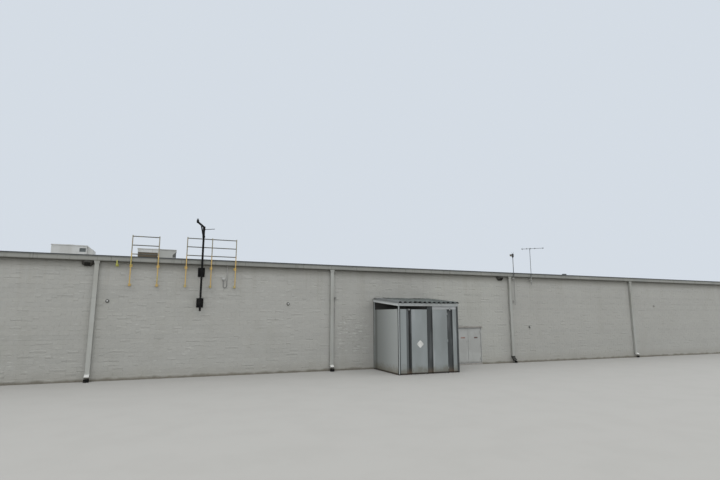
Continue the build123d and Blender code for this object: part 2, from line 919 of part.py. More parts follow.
head_top = shed_rafter_top(panel_front) - rafter_depth
save("shed_head", tray(mullion_right, end_panel_right, shed_panel_top, head_top, shed_panel_depth))


def shed_leaf(side):
    """One leaf of the shed door, a tray of folded sheet hung on the channel at its side."""
    jamb = door_left if side < 0 else door_right
    mullion = mullion_left if side < 0 else mullion_right
    hinge_x = jamb - side * door_gap / 2
    edge = jamb - side * door_gap
    free = mullion + side * door_gap
    z0, z1 = shed_leaf_lift, shed_panel_top - door_gap
    x0, x1 = min(edge, free), max(edge, free)
    leaf = tray(x0, x1, z0, z1, shed_leaf_thickness)
    hinge_line = panel_front - hinge_radius - hinge_clearance
    return joined([leaf] + hinge_knuckles(hinge_x, hinge_line, panel_front, -side, z0, z1))


save("shed_door_left", shed_leaf(-1))
save("shed_door_right", shed_leaf(1))


def sloped_bar(x0, x1, y0, y1, drop):
    """A bar under the shed roof, parallel to its slope."""
    top_0, top_1 = shed_rafter_top(y0), shed_rafter_top(y1)
    return along_x([(y0, top_0 - drop), (y1, top_1 - drop), (y1, top_1), (y0, top_0)], x0, x1)


def shed_framing():
    """Rafters over the posts, tied by a ledger on the wall and a plate at the front."""
    roof_front = shed_front + shed_fascia_sheet
    ledger_front = rear_face - rafter_width
    rafter_lines = [shed_left, shed_middle - rafter_width / 2, shed_right - rafter_width]
    rafters = [sloped_bar(x, x + rafter_width, shed_front, rear_face, rafter_depth)
               for x in rafter_lines]
    ledger = sloped_bar(shed_left, shed_right, ledger_front, rear_face, rafter_depth)
    plate = sloped_bar(shed_left, shed_right, shed_front, roof_front + rafter_width, rafter_depth)
    return joined(rafters + [ledger, plate])


save("shed_framing", shed_framing())


def shed_sheets():
    """The corrugated sheets, swept down the slope from the wall."""
    x0 = shed_left - shed_roof_overhang
    x1 = shed_right + shed_roof_overhang
    count = int((x1 - x0) // corrugation_pitch)
    pitch = (x1 - x0) / count
    top = shed_wall_top
    low = top - corrugation_height
    valley_end = pitch * corrugation_valley_share
    crest_start = valley_end + pitch * corrugation_flank_share
    crest_end = crest_start + pitch * corrugation_crest_share
    valley_start = crest_end + pitch * corrugation_flank_share
    upper = []
    for number in range(count):
        x = x0 + number * pitch
        upper += [(x, low), (x + valley_end, low), (x + crest_start, top)]
        upper += [(x + crest_end, top), (x + valley_start, low)]
    upper.append((x1, low))
    lower = [(x, z - shed_roof_sheet) for x, z in reversed(upper)]
    outline = Polyline(*[(x, rear_face, z) for x, z in upper + lower], close=True)
    run = shed_reach + shed_roof_overhang
    downhill = Vector(0, -1, -shed_slope).normalized()
    return extrude(make_face(outline), amount=hypot(run, run * shed_slope), dir=downhill)


save("shed_roof", shed_sheets())


def shed_trim():
    """The fascia along the front of the shed and the rake boards down both sides."""
    x0 = shed_left - shed_fascia_sheet
    x1 = shed_right + shed_fascia_sheet
    y0 = shed_front - shed_fascia_sheet
    top = shed_rafter_top(shed_front)
    edge = shed_rafter_top(y0)
    front_section = [(y0, edge), (shed_front, top), (shed_front, top - shed_fascia_height)]
    front_section.append((y0, top - shed_fascia_height))
    front = along_x(front_section, x0, x1)
    sides = []
    for x in (x0, shed_right):
        rise = [(shed_front, shed_rafter_top(shed_front)), (rear_face, shed_rafter_top(rear_face))]
        fall = [(y, z - shed_fascia_height) for y, z in reversed(rise)]
        sides.append(along_x(rise + fall, x, x + shed_fascia_sheet))
    return joined([front] + sides)


save("shed_fascia", shed_trim())


# Guard rails
rail_y = rear_face - rail_standoff


def rail_pipe(start, end):
    """One pipe of a guard rail."""
    return bar(start, end, rail_pipe_radius, rail_pipe_sides)


def guard_rail(first_post, posts, top):
    """Pipe posts in front of the gutter, joined by pipe rails."""
    foot = rail_lower_bracket - rail_post_below
    crest = top + rail_post_cap
    places = [first_post + number * rail_post_spacing for number in range(posts)]
    pieces = [rail_pipe((x, rail_y, foot), (x, rail_y, crest)) for x in places]
    for number in range(rail_count):
        z = top - number * rail_spacing
        pieces.append(rail_pipe((places[0], rail_y, z), (places[-1], rail_y, z)))
    return joined(pieces), places


left_rail, left_posts = guard_rail(downspout_1 + left_rail_from_downspout, 2, left_rail_top)
right_rail, right_posts = guard_rail(downspout_1 + right_rail_from_downspout, 3, right_rail_top)
save("guard_rail_left", left_rail)
save("guard_rail_right", right_rail)


def bracket_arm(x, z):
    """A wall plate with an arm that reaches out to the line of the posts."""
    half = bracket_plate_size / 2
    arm_half = bracket_arm_size / 2
    plate_front = rear_face - bracket_plate_thickness
    plate = block(x - half, x + half, plate_front, rear_face, z - half, z + half)
    return plate + block(x - arm_half, x + arm_half, rail_y, rear_face, z - arm_half, z + arm_half)


def rail_bracket(x, z):
    """A bracket whose arm ends against the back of the post."""
    half = bracket_plate_size / 2
    return bracket_arm(x, z) - rail_pipe((x, rail_y, z - half), (x, rail_y, z + half))


stub_x = downspout_1 + stub_from_downspout
stub_foot = rail_upper_bracket - bracket_arm_size / 2
stub = rail_pipe((stub_x, rail_y, stub_foot), (stub_x, rail_y, stub_foot + stub_height))
post_brackets = [rail_bracket(x, z) for x in left_posts + right_posts
                 for z in (rail_lower_bracket, rail_upper_bracket)]
save("guard_rail_brackets", *post_brackets, bracket_arm(stub_x, rail_upper_bracket) + stub)


# Roof hoist
mast_x = downspout_1 + hoist_from_downspout
mast_y = rear_face - hoist_standoff
sleeve_bore = mast_radius + mast_clearance
sleeve_radius = sleeve_bore + hoist_sleeve_wall


def hoist_bracket(z):
    """A wall plate with a tapered web and a sleeve that the mast turns in."""
    half = hoist_plate_width / 2
    plate_front = rear_face - hoist_plate_thickness
    plate_rise = hoist_plate_height / 2
    plate = block(mast_x - half, mast_x + half, plate_front, rear_face, z - plate_rise, z + plate_rise)
    root, tip = hoist_arm_root, hoist_sleeve_length / 2
    web = [(rear_face, z - root), (mast_y, z - tip), (mast_y, z + tip), (rear_face, z + tip)]
    arm = along_x(web, mast_x - hoist_arm_thickness / 2, mast_x + hoist_arm_thickness / 2)
    sleeve = bar((mast_x, mast_y, z - tip), (mast_x, mast_y, z + tip), sleeve_radius, sleeve_sides)
    bore = Pos(mast_x, mast_y, z) * Cylinder(sleeve_bore, hoist_plate_height)
    return plate + arm + sleeve - bore


save("hoist_brackets", hoist_bracket(hoist_lower_plate), hoist_bracket(hoist_upper_plate))

sleeve_top = hoist_lower_plate + hoist_sleeve_length / 2
collar_middle = sleeve_top + mast_clearance + collar_height / 2
mast = rod((mast_x, mast_y, mast_bottom), (mast_x, mast_y, mast_top), mast_radius)
thrust_collar = Pos(mast_x, mast_y, collar_middle) * Cylinder(mast_radius + collar_rim, collar_height)
save("hoist_mast", mast + thrust_collar)


def hoist_point(reach, rise):
    """A point of the boom, by its reach from the mast and its height above the mast's top."""
    heading = radians(boom_heading)
    return (mast_x - reach * sin(heading), mast_y - reach * cos(heading), mast_top + rise)


def square_bar(start, end, size):
    """A square bar between two points."""
    axis = Vector(*end) - Vector(*start)
    plane = Plane(origin=start, x_dir=Vector(0, 0, 1).cross(axis), z_dir=axis)
    return extrude(plane * Rectangle(size, size), amount=axis.length)


def hoist_boom():
    """The boom with its knee brace and slewing handle, on a socket cap over the mast's head."""
    cap_middle = boom_size / 2
    rise_per_reach = boom_rise / boom_reach
    cap_radius = mast_radius + boom_cap_rim
    cap = bar(hoist_point(0, -boom_cap_skirt), hoist_point(0, boom_size), cap_radius, sleeve_sides)
    boom_end = boom_reach - sheave_radius - sheave_gap
    boom_end_rise = cap_middle + boom_end * rise_per_reach
    boom = square_bar(hoist_point(0, cap_middle), hoist_point(boom_end, boom_end_rise), boom_size)
    brace_foot = hoist_point(mast_radius + brace_size / 2, -brace_drop)
    brace_head = hoist_point(brace_reach, cap_middle + brace_reach * rise_per_reach)
    brace = square_bar(brace_foot, brace_head, brace_size)
    shoe_middle = -brace_drop + brace_size / 2
    shoe_low = hoist_point(0, shoe_middle - brace_shoe_height / 2)
    shoe_high = hoist_point(0, shoe_middle + brace_shoe_height / 2)
    shoe = bar(shoe_low, shoe_high, mast_radius + brace_shoe_rim, sleeve_sides)
    handle_root = mast_top - handle_drop
    handle_start = (mast_x, mast_y, handle_root)
    handle_end = (mast_x + mast_radius + handle_length, mast_y, handle_root + handle_rise)
    handle = bar(handle_start, handle_end, handle_radius, pin_sides)
    inner_mast = rod(shoe_low, hoist_point(0, 0), mast_radius)
    return joined([cap, boom, brace, shoe, handle]) - inner_mast


def cheek(plane):
    """One side plate of the sheave head, from its root on the boom up to the tip over the wheel."""
    root = Pos(-cheek_root_reach, 0) * Circle(cheek_root_radius)
    middle = Circle(cheek_middle_radius)
    tip = Pos(0, cheek_tip_rise) * Circle(cheek_tip_radius)
    outline = make_hull([circle.edges()[0] for circle in (root, middle, tip)])
    return extrude(plane * outline, amount=cheek_thickness / 2, both=True)


def sheave_head():
    """A grooved wheel and a rope keeper between two upswept cheeks on the end of the boom."""
    heading = radians(boom_heading)
    side = Vector(cos(heading), -sin(heading), 0)
    along = (Vector(*hoist_point(boom_reach, boom_rise)) - Vector(*hoist_point(0, 0))).normalized()
    end = Vector(*hoist_point(boom_reach, boom_size / 2 + boom_rise))
    head_plane = Plane(origin=end, x_dir=along, z_dir=along.cross(Vector(0, 0, 1)))
    axle = Vector(*head_plane.from_local_coords((0, sheave_rise, 0)))
    keeper = Vector(*head_plane.from_local_coords((0, cheek_tip_rise, 0)))
    half = sheave_width / 2
    groove = sheave_radius - sheave_groove
    near, far = axle - side * half, axle + side * half
    near_flank = taper(tuple(near), tuple(axle), sheave_radius, groove, wheel_sides)
    far_flank = taper(tuple(far), tuple(axle), sheave_radius, groove, wheel_sides)
    wheel = near_flank + far_flank
    reach = side * (half + sheave_gap + cheek_thickness)
    pin = bar(tuple(axle - reach), tuple(axle + reach), hub_radius, pin_sides)
    guard = bar(tuple(keeper - reach), tuple(keeper + reach), keeper_radius, pin_sides)
    gap = half + sheave_gap + cheek_thickness / 2
    cheeks = []
    for way in (-1, 1):
        cheeks.append(cheek(Plane(origin=end + side * way * gap, x_dir=along, z_dir=head_plane.z_dir)))
    return joined([wheel, pin, guard] + cheeks)


save("hoist_boom", hoist_boom() + sheave_head())


# Lights under the gutter
def wall_light(x):
    """A wedge-shaped luminaire, deep at its top and cut back below to a recessed lens."""
    top = gutter_bottom - light_below_gutter
    foot = top - light_height
    low = (rear_face - light_foot_depth, foot)
    high = (rear_face - light_depth, top - light_front_height)
    section = [(rear_face, foot), low, high, (rear_face - light_depth, top), (rear_face, top)]
    body = along_x(section, x - light_width / 2, x + light_width / 2)
    slant = (Vector(*high) - Vector(*low)).normalized()
    inward = Vector(slant.Y, -slant.X) * light_lens_recess
    lens_low = Vector(*low) + slant * light_lens_margin
    lens_high = Vector(*high) - slant * light_lens_margin
    corners = [lens_low, lens_high, lens_high + inward, lens_low + inward]
    lens_reach = light_width / 2 - light_lens_margin
    return body - along_x([(corner.X, corner.Y) for corner in corners], x - lens_reach, x + lens_reach)


light_places = [downspout_1 - light_1_from_downspout, downspout_3 - light_3_from_downspout]
rear_lights = [wall_light(x) for x in light_places]
save("rear_wall_lights", *rear_lights)
save("front_wall_lights", *[to_far_side(light) for light in rear_lights])


# Camera pole
def pole_clamp(x, z, radius):
    """A small wall block that holds a pole by its back."""
    half = clamp_size / 2
    holder = block(x - half, x + half, pole_y, rear_face, z - half, z + half)
    return holder - bar((x, pole_y, z - clamp_size), (x, pole_y, z + clamp_size), radius, pole_sides)


def upright(x, z0, z1, radius, sides):
    """An upright bar in line with the poles."""
    return bar((x, pole_y, z0), (x, pole_y, z1), radius, sides)


pole_x = downspout_3 + pole_from_downspout
pole_y = rear_face - pole_standoff
pole = upright(pole_x, pole_bottom, pole_top, pole_radius, pole_sides)
camera_foot = pole_top - camera_height / 2
camera_crown = pole_top + camera_height / 2
housing = upright(pole_x, camera_foot, camera_crown, camera_radius, housing_sides)
dome_foot = (pole_x, pole_y, camera_foot - camera_dome_height)
dome_top = (pole_x, pole_y, camera_foot)
dome = taper(dome_foot, dome_top, pole_radius, camera_dome_radius, housing_sides)
sensor_x = pole_x - sensor_reach
sensor_foot = pole_top - sensor_height / 2
sensor = upright(sensor_x, sensor_foot, sensor_foot + sensor_height, sensor_radius, housing_sides)
arm_half = sensor_arm_size / 2
arm_front = pole_y - arm_half
arm_back = pole_y + arm_half
sensor_arm = block(sensor_x, pole_x, arm_front, arm_back, pole_top - arm_half, pole_top + arm_half)
whip_side = whip_length * sin(radians(whip_lean))
whip_crest = camera_crown + whip_length * cos(radians(whip_lean))
whip_foot = (pole_x, pole_y, camera_crown - whip_radius)
left_whip = bar(whip_foot, (pole_x - whip_side, pole_y, whip_crest), whip_radius, whip_sides)
right_whip = bar(whip_foot, (pole_x + whip_side, pole_y, whip_crest), whip_radius, whip_sides)
save("camera_pole", joined([pole, housing, dome, sensor, sensor_arm, left_whip, right_whip]))


# Television antenna
antenna_x = downspout_3 + antenna_from_downspout
antenna_mast = upright(antenna_x, antenna_bottom, antenna_top, antenna_mast_radius, pole_sides)


def antenna_array():
    """The boom and its cross elements, each in an insulating block, before they are turned."""
    half = antenna_boom_size / 2
    thin = antenna_element_size / 2
    broad = antenna_block_size / 2
    pieces = [block(-antenna_boom_left, antenna_boom_right, -half, half, -half, half)]
    for number, place in enumerate(antenna_element_places):
        reach = (antenna_longest_element - number * antenna_element_step) / 2
        grip = antenna_block_length / 2
        pieces.append(block(place - thin, place + thin, -reach, reach, -thin, thin))
        pieces.append(block(place - grip, place + grip, -broad, broad, -broad, broad))
    return joined(pieces)


array_middle = antenna_top - antenna_block_size / 2
array = Pos(antenna_x, pole_y, array_middle) * Rot(0, 0, antenna_heading) * antenna_array()
save("tv_antenna", antenna_mast + array)

lower_ends = [(pole_x, pole_bottom, pole_radius), (antenna_x, antenna_bottom, antenna_mast_radius)]
pole_clamps = []
for x, end, radius in lower_ends:
    pole_clamps += [pole_clamp(x, end + clamp_above_end, radius),
                    pole_clamp(x, gutter_bottom - clamp_below_gutter, radius)]
save("pole_clamps", *pole_clamps)


# Round caps and conduits on the service wall
def wall_cap(x, z):
    """A domed round cap over a vent pipe."""
    rim_front = rear_face - wall_cap_rim
    crown = rim_front - wall_cap_depth
    rim = bar((x, rear_face, z), (x, rim_front, z), wall_cap_radius, wall_cap_sides)
    dome_start, dome_end = wall_cap_dome_radius, wall_cap_crown_radius
    return rim + taper((x, rim_front, z), (x, crown, z), dome_start, dome_end, wall_cap_sides)


save(
    "wall_caps",
    wall_cap(downspout_1 + cap_1_from_downspout, cap_1_height),
    wall_cap(downspout_2 - cap_2_from_downspout, cap_2_height),
    wall_cap(downspout_3 + cap_3_from_downspout, cap_3_height),
    wall_cap(downspout_4 + cap_4_from_downspout, cap_4_height),
)

conduit_y = rear_face - conduit_standoff - conduit_radius


def outlet_box(x, z):
    """A weatherproof outlet box on the wall."""
    half = outlet_box_size / 2
    return block(x - half, x + half, rear_face - outlet_box_depth, rear_face, z - half, z + half)


def drip_loop(x, z):
    """A conduit that comes down from the gutter, turns under the box and rises into its foot."""
    bend = loop_spread / 2
    turn = loop_bottom + bend
    far = x + loop_spread
    start = (far, conduit_y, gutter_bottom)
    down = Line(start, (far, conduit_y, turn))
    under = ThreePointArc((far, conduit_y, turn), (x + bend, conduit_y, loop_bottom), (x, conduit_y, turn))
    up = Line((x, conduit_y, turn), (x, conduit_y, z - outlet_box_size / 2))
    section = Plane(origin=start, z_dir=(0, 0, -1)) * RegularPolygon(conduit_radius, conduit_sides)
    return sweep(section, path=Wire([down.edges()[0], under.edges()[0], up.edges()[0]]))


loop_x = downspout_1 + loop_outlet_from_downspout
riser_x = downspout_2 + riser_outlet_from_downspout
riser_foot = (riser_x, conduit_y, riser_bottom)
riser = bar(riser_foot, (riser_x, conduit_y, riser_outlet_height), conduit_radius, conduit_sides)
save(
    "wall_conduits",
    outlet_box(loop_x, loop_outlet_height) + drip_loop(loop_x, loop_outlet_height),
    outlet_box(riser_x, riser_outlet_height) + riser,
)


# Rooftop units on curbs
def grille(x0, x1, z0, z1, y0):
    """The recess of a grille and the slats that slope across it, as what to cut and what to add."""
    recess = block(x0, x1, y0, y0 + grille_recess, z0, z1)
    count = int((z1 - z0) // slat_pitch)
    step = (z1 - z0 - 2 * slat_margin) / count
    edge = y0 + slat_setback
    back = y0 + grille_recess + slat_bite
    slats = []
    for number in range(count):
        foot = z0 + slat_margin + number * step
        section = [(edge, foot), (back, foot + step - slat_thickness)]
        section += [(back, foot + step), (edge, foot + slat_thickness)]
        slats.append(along_x(section, x0 - slat_bite, x1 + slat_bite))
    return recess, slats


def cabinet(x, width, grille_left, grille_width, grille_bottom, grille_top):
    """A packaged air unit: base rail, cabinet with a slatted grille, lid and fan ring."""
    y0 = rear_face + unit_behind_wall
    y1 = y0 + unit_depth
    base = roof_surface(y0) + curb_height
    top = base + unit_height
    rail = unit_rail_inset
    foot = block(x + rail, x + width - rail, y0 + rail, y1 - rail, base, base + unit_base_rail)
    shell = block(x, x + width, y0, y1, base + unit_base_rail, top)
    left = x + grille_left
    low, high = base + grille_bottom, base + grille_top
    recess, slats = grille(left, left + grille_width, low, high, y0)
    reach = unit_lid_overhang
    lid = block(x - reach, x + width + reach, y0 - reach, y1 + reach, top, top + unit_lid_height)
    fan_x, fan_y, fan_z = x + width / 2, (y0 + y1) / 2, top + unit_lid_height
    fan_top = fan_z + fan_ring_height
    ring = bar((fan_x, fan_y, fan_z), (fan_x, fan_y, fan_top), fan_radius, fan_ring_sides)
    inner_radius = fan_radius - fan_ring_wall
    ring -= bar((fan_x, fan_y, fan_z), (fan_x, fan_y, fan_top), inner_radius, fan_ring_sides)
    return joined([foot, shell - recess] + slats + [lid, ring])


def end_hood(x):
    """The weather hood on the end of the left unit, which slopes down and away from its lid."""
    y0 = rear_face + unit_behind_wall + end_hood_setback
    y1 = y0 + unit_depth - 2 * end_hood_setback
    top = roof_surface(rear_face + unit_behind_wall) + curb_height + unit_height
    foot = top - end_hood_height
    tip = x + end_hood_reach
    return along_y([(x, top), (tip, top - end_hood_drop), (tip, foot), (x, foot)], y0, y1)


def front_hood(x):
    """The small wedge hood low on the front of the right unit."""
    y0 = rear_face + unit_behind_wall
    foot = roof_surface(y0) + curb_height + front_hood_bottom
    section = [(y0, foot), (y0 - front_hood_reach, foot), (y0, foot + front_hood_height)]
    return along_x(section, x, x + front_hood_width)


def curb(x, width):
    """The insulated curb that lifts a unit above the roof, cut to the slope and to the seams."""
    y0 = rear_face + unit_behind_wall + curb_inset
    y1 = y0 + unit_depth - 2 * curb_inset
    top = roof_surface(y0 - curb_inset) + curb_height
    section = [(y0, roof_surface(y0)), (y1, roof_surface(y1)), (y1, top), (y0, top)]
    return along_x(section, x + curb_inset, x + width - curb_inset) - rear_slope


left_unit_x = downspout_1 + left_unit_from_downspout
right_unit_x = downspout_1 + right_unit_from_downspout
left_grille = (left_grille_from_left, left_grille_width, left_grille_bottom, left_grille_top)
right_grille = (right_grille_from_left, right_grille_width, right_grille_bottom, right_grille_top)
left_cabinet = cabinet(left_unit_x, left_unit_width, *left_grille)
right_cabinet = cabinet(right_unit_x, right_unit_width, *right_grille)
save("rooftop_unit_left", left_cabinet + end_hood(left_unit_x + left_unit_width))
save("rooftop_unit_right", right_cabinet + front_hood(right_unit_x + front_hood_from_left))
save("rooftop_curbs", curb(left_unit_x, left_unit_width), curb(right_unit_x, right_unit_width))


# Roof vent
vent_bay = (downspout_4 + vent_from_downspout - first_seam) // seam_spacing
vent_x = first_seam + vent_bay * seam_spacing + seam_spacing / 2
vent_y = rear_face + vent_behind_wall
vent_foot = roof_surface(vent_y)
vent_top = vent_foot + vent_height


def vent_bar(z0, z1, radius):
    """An upright stretch of the vent."""
    return bar((vent_x, vent_y, z0), (vent_x, vent_y, z1), radius, vent_sides)


vent_pipe = vent_bar(vent_foot - seam_height, vent_top, vent_radius)
vent_collar = vent_bar(vent_foot - seam_height, vent_foot + vent_flashing_height, vent_flashing_radius)
vent_cap = vent_bar(vent_top - vent_cap_height / 2, vent_top + vent_cap_height / 2, vent_cap_radius)
save("roof_vent", joined([vent_pipe, vent_collar, vent_cap]) - rear_slope)
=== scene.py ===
"""Looks of the half-size supermarket building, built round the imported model.

The file follows the building as it is put up: floor slab and block walls, the steel inside, the
roof, the rain water, the exit door, the lean-to shed, the guard rails, the hoist, the fittings and
the plant on the roof. The floor, the backdrop and the light come last. Everything is in metres.
"""

import math
import random
import bmesh
import bpy
from mathutils import Matrix, Vector


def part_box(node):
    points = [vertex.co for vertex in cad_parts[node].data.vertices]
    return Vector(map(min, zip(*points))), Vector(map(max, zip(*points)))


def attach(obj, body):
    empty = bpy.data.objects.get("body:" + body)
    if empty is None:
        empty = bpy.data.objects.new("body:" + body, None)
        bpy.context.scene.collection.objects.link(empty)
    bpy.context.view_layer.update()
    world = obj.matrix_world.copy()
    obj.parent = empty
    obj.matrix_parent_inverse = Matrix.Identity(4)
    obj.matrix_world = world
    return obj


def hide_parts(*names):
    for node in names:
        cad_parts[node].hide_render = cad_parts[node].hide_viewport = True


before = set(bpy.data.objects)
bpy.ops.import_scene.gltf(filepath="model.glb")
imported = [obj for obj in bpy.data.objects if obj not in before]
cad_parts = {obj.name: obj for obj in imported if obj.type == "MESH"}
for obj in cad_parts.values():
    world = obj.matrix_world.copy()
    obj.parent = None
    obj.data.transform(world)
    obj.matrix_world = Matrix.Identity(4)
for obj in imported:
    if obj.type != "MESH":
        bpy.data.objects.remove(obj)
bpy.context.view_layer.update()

# Viewpoint.
# The camera stands well back from the service wall, at about three metres at full size. It is turned
# to the right of square on and tilted up, with the lens read from the wall's vanishing lines.
picture_width = 720.0
focal_pixels = 469.0
sensor_width = 36.0
sight_reach = 2000.0
eye_height = 1.4176
eye_distance = 12.2
eye_from_middle = -6.935
eye_heading = math.radians(21.96)
eye_pitch = math.radians(9.3)
rear_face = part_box("rear_wall_left")[0].y


def stand(name, data):
    """Puts a new object in the scene."""
    made = bpy.data.objects.new(name, data)
    bpy.context.scene.collection.objects.link(made)
    return made


view = bpy.data.cameras.new("view_camera")
view.sensor_width = sensor_width
view.lens = focal_pixels / picture_width * sensor_width
view.clip_end = sight_reach
view_camera = stand("view_camera", view)
view_camera.location = (eye_from_middle, rear_face - eye_distance, eye_height)
view_camera.rotation_euler = (math.radians(90.0) + eye_pitch, 0.0, -eye_heading)
bpy.context.scene.camera = view_camera


# Concrete floor.
# The slab is cast concrete, troweled smooth inside and brushed in the doorway, where it shows as the
# sill. It is grey, with faint trowel clouds and a little dust.
class Finish:
    """One finish, laid on from the bare colour outwards: clouds, streaks, dirt, then the surface."""

    def __init__(self, name, colour, roughness, metallic=0.0):
        self.material = bpy.data.materials.new(name)
        self.material.use_nodes = True
        self.tree = self.material.node_tree
        self.shader = self.tree.nodes["Principled BSDF"]
        self.shader.inputs["Roughness"].default_value = roughness
        self.shader.inputs["Metallic"].default_value = metallic
        self.place = self.node("ShaderNodeTexCoord").outputs["Object"]
        self.tone = colour

    def node(self, kind, **settings):
        """Adds a node with its settings."""
        made = self.tree.nodes.new(kind)
        for name, value in settings.items():
            setattr(made, name, value)
        return made

    def feed(self, socket, value):
        """Joins a socket to another one, or sets its value."""
        if isinstance(value, bpy.types.NodeSocket):
            self.tree.links.new(value, socket)
        elif socket.type == "RGBA":
            socket.default_value = (value[0], value[1], value[2], 1.0)
        else:
            socket.default_value = value

    def sum(self, operation, first, second=0.0):
        """Works out one sum of two values."""
        made = self.node("ShaderNodeMath", operation=operation)
        self.feed(made.inputs[0], first)
        self.feed(made.inputs[1], second)
        return made.outputs[0]

    def product(self, first, *others):
        """Multiplies shares, so that what is made holds only where all of them do."""
        for other in others:
            first = self.sum("MULTIPLY", first, other)
        return first

    def axis(self, letter):
        """One coordinate of the place on the piece, in metres."""
        made = self.node("ShaderNodeSeparateXYZ")
        self.feed(made.inputs[0], self.place)
        return made.outputs[letter]

    def facing(self, letter):
        """One part of the direction that the surface faces."""
        made = self.node("ShaderNodeSeparateXYZ")
        self.feed(made.inputs[0], self.node("ShaderNodeTexCoord").outputs["Normal"])
        return made.outputs[letter]

    def clouds(self, scale, stretch=(1.0, 1.0, 1.0), detail=4.0, coarse=0.55):
        """Noise with so many clouds to the metre, stretched along the axes."""
        spread = self.node("ShaderNodeMapping")
        self.feed(spread.inputs["Vector"], self.place)
        spread.inputs["Scale"].default_value = stretch
        made = self.node("ShaderNodeTexNoise")
        self.feed(made.inputs["Vector"], spread.outputs["Vector"])
        made.inputs["Scale"].default_value = scale
        made.inputs["Detail"].default_value = detail
        made.inputs["Roughness"].default_value = coarse
        return made.outputs[0]

    def between(self, value, start, end, low=0.0, high=1.0):
        """Runs from low to high as the value goes from start to end, and stays there."""
        made = self.node("ShaderNodeMapRange", interpolation_type="SMOOTHSTEP")
        for name, number in (("From Min", start), ("From Max", end), ("To Min", low), ("To Max", high)):
            made.inputs[name].default_value = number
        self.feed(made.inputs["Value"], value)
        return made.outputs["Result"]

    def along(self, letter, *limits):
        """Runs from low to high along an axis of the piece."""
        return self.between(self.axis(letter), *limits)

    def turned(self, letter, *limits):
        """Runs from low to high as the surface turns to face along an axis."""
        return self.between(self.facing(letter), *limits)

    def past(self, value, place, soft):
        """0 before a place and 1 past it, over so much each way. A soft below 0 turns it round."""
        return self.between(value, place - soft, place + soft)

    def band(self, value, start, end, soft):
        """1 from start to end and 0 outside, over so much each way."""
        return self.product(self.past(value, start, soft), self.past(value, end, -soft))

    def mixed(self, colour, share, how):
        """Mixes a colour with what is there."""
        made = self.node("ShaderNodeMix", data_type="RGBA", blend_type=how)
        self.feed(made.inputs[0], share)
        self.feed(made.inputs[6], self.tone)
        self.feed(made.inputs[7], colour)
        self.tone = made.outputs[2]

    def lay(self, colour, share):
        """Lays a colour over what is there, by a share that may vary over the surface."""
        self.mixed(colour, share, "MIX")

    def tint(self, colour, share):
        """Multiplies what is there by a colour."""
        self.mixed(colour, share, "MULTIPLY")

    def patch(self, colour, start, end, *noise, **more):
        """Lays a colour in patches, where the noise goes from start to end."""
        self.lay(colour, self.between(self.clouds(*noise, **more), start, end))

    def mottle(self, colour, start, end, *noise, **more):
        """Multiplies by a colour in patches, where the noise goes from start to end."""
        self.tint(colour, self.between(self.clouds(*noise, **more), start, end))

    def rough(self, value):
        """Sets how dull the surface is, by a value that may vary over it."""
        self.feed(self.shader.inputs["Roughness"], value)

    def relief(self, height, depth, strength=1.0):
        """Adds bumps of a depth on top of those before."""
        made = self.node("ShaderNodeBump")
        made.inputs["Strength"].default_value = strength
        made.inputs["Distance"].default_value = depth
        self.feed(made.inputs["Height"], height)
        before = self.shader.inputs["Normal"].links
        if before:
            self.feed(made.inputs["Normal"], before[0].from_socket)
        self.feed(self.shader.inputs["Normal"], made.outputs["Normal"])

    def grain(self, depth, *noise, strength=1.0, **more):
        """Adds bumps of noise."""
        self.relief(self.clouds(*noise, **more), depth, strength)

    def done(self):
        """Ends the finish and hands over its material."""
        self.feed(self.shader.inputs["Base Color"], self.tone)
        return self.material


def put_on(material, *names):
    """Gives a material to nodes of the frame."""
    for name in names:
        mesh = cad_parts[name].data
        mesh.materials.clear()
        mesh.materials.append(material)


slab = Finish("troweled_concrete", (0.30, 0.29, 0.27), 0.7)
slab.mottle((0.80, 0.79, 0.78), 0.42, 0.62, 1.1)
slab.mottle((0.82, 0.80, 0.77), 0.5, 0.66, 14.0, detail=6.0)
slab.rough(slab.between(slab.clouds(3.0), 0.35, 0.65, 0.5, 0.8))
slab.grain(0.001, 90.0)
put_on(slab.done(), "floor_slab")


# Block walls.
# The walls are split-face concrete blocks, 406 by 203 mm at full size, laid in running bond. Their
# faces were broken off, so each stands out unevenly, and thick masonry paint has run into the joints.
course = 0.1016
block_length = 0.2032
wall_thickness = 0.1
wall_top = course * 27
roof_pitch = 0.5 / 12.0
left_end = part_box("rear_wall_left")[0].x
right_end = -left_end
joint_half_width = 0.0035
joint_depth = 0.0062
face_depth = 0.0042
face_spread = 0.0009
face_tilt = 0.0012
face_chips = 0.0007
face_wander = 0.009
lip_share = 0.10
lip_undercut = 0.0026

wall_paint_colour = (0.338, 0.336, 0.316)
edge_highlight_colour = (0.415, 0.413, 0.393)
fleck_highlight_colour = (0.43, 0.43, 0.41)
dark_inside = (0.13, 0.127, 0.118)
under_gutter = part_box("rear_gutter")[0].z
post_cover = 0.035
fleck_patch_sides = ((-2.75, -2.55), (-1.65, -1.95))
fleck_patch_levels = ((0.35, 0.60), (1.60, 1.35))
lift_by_exit_sides = ((0.1, 0.4), (3.0, 2.5))


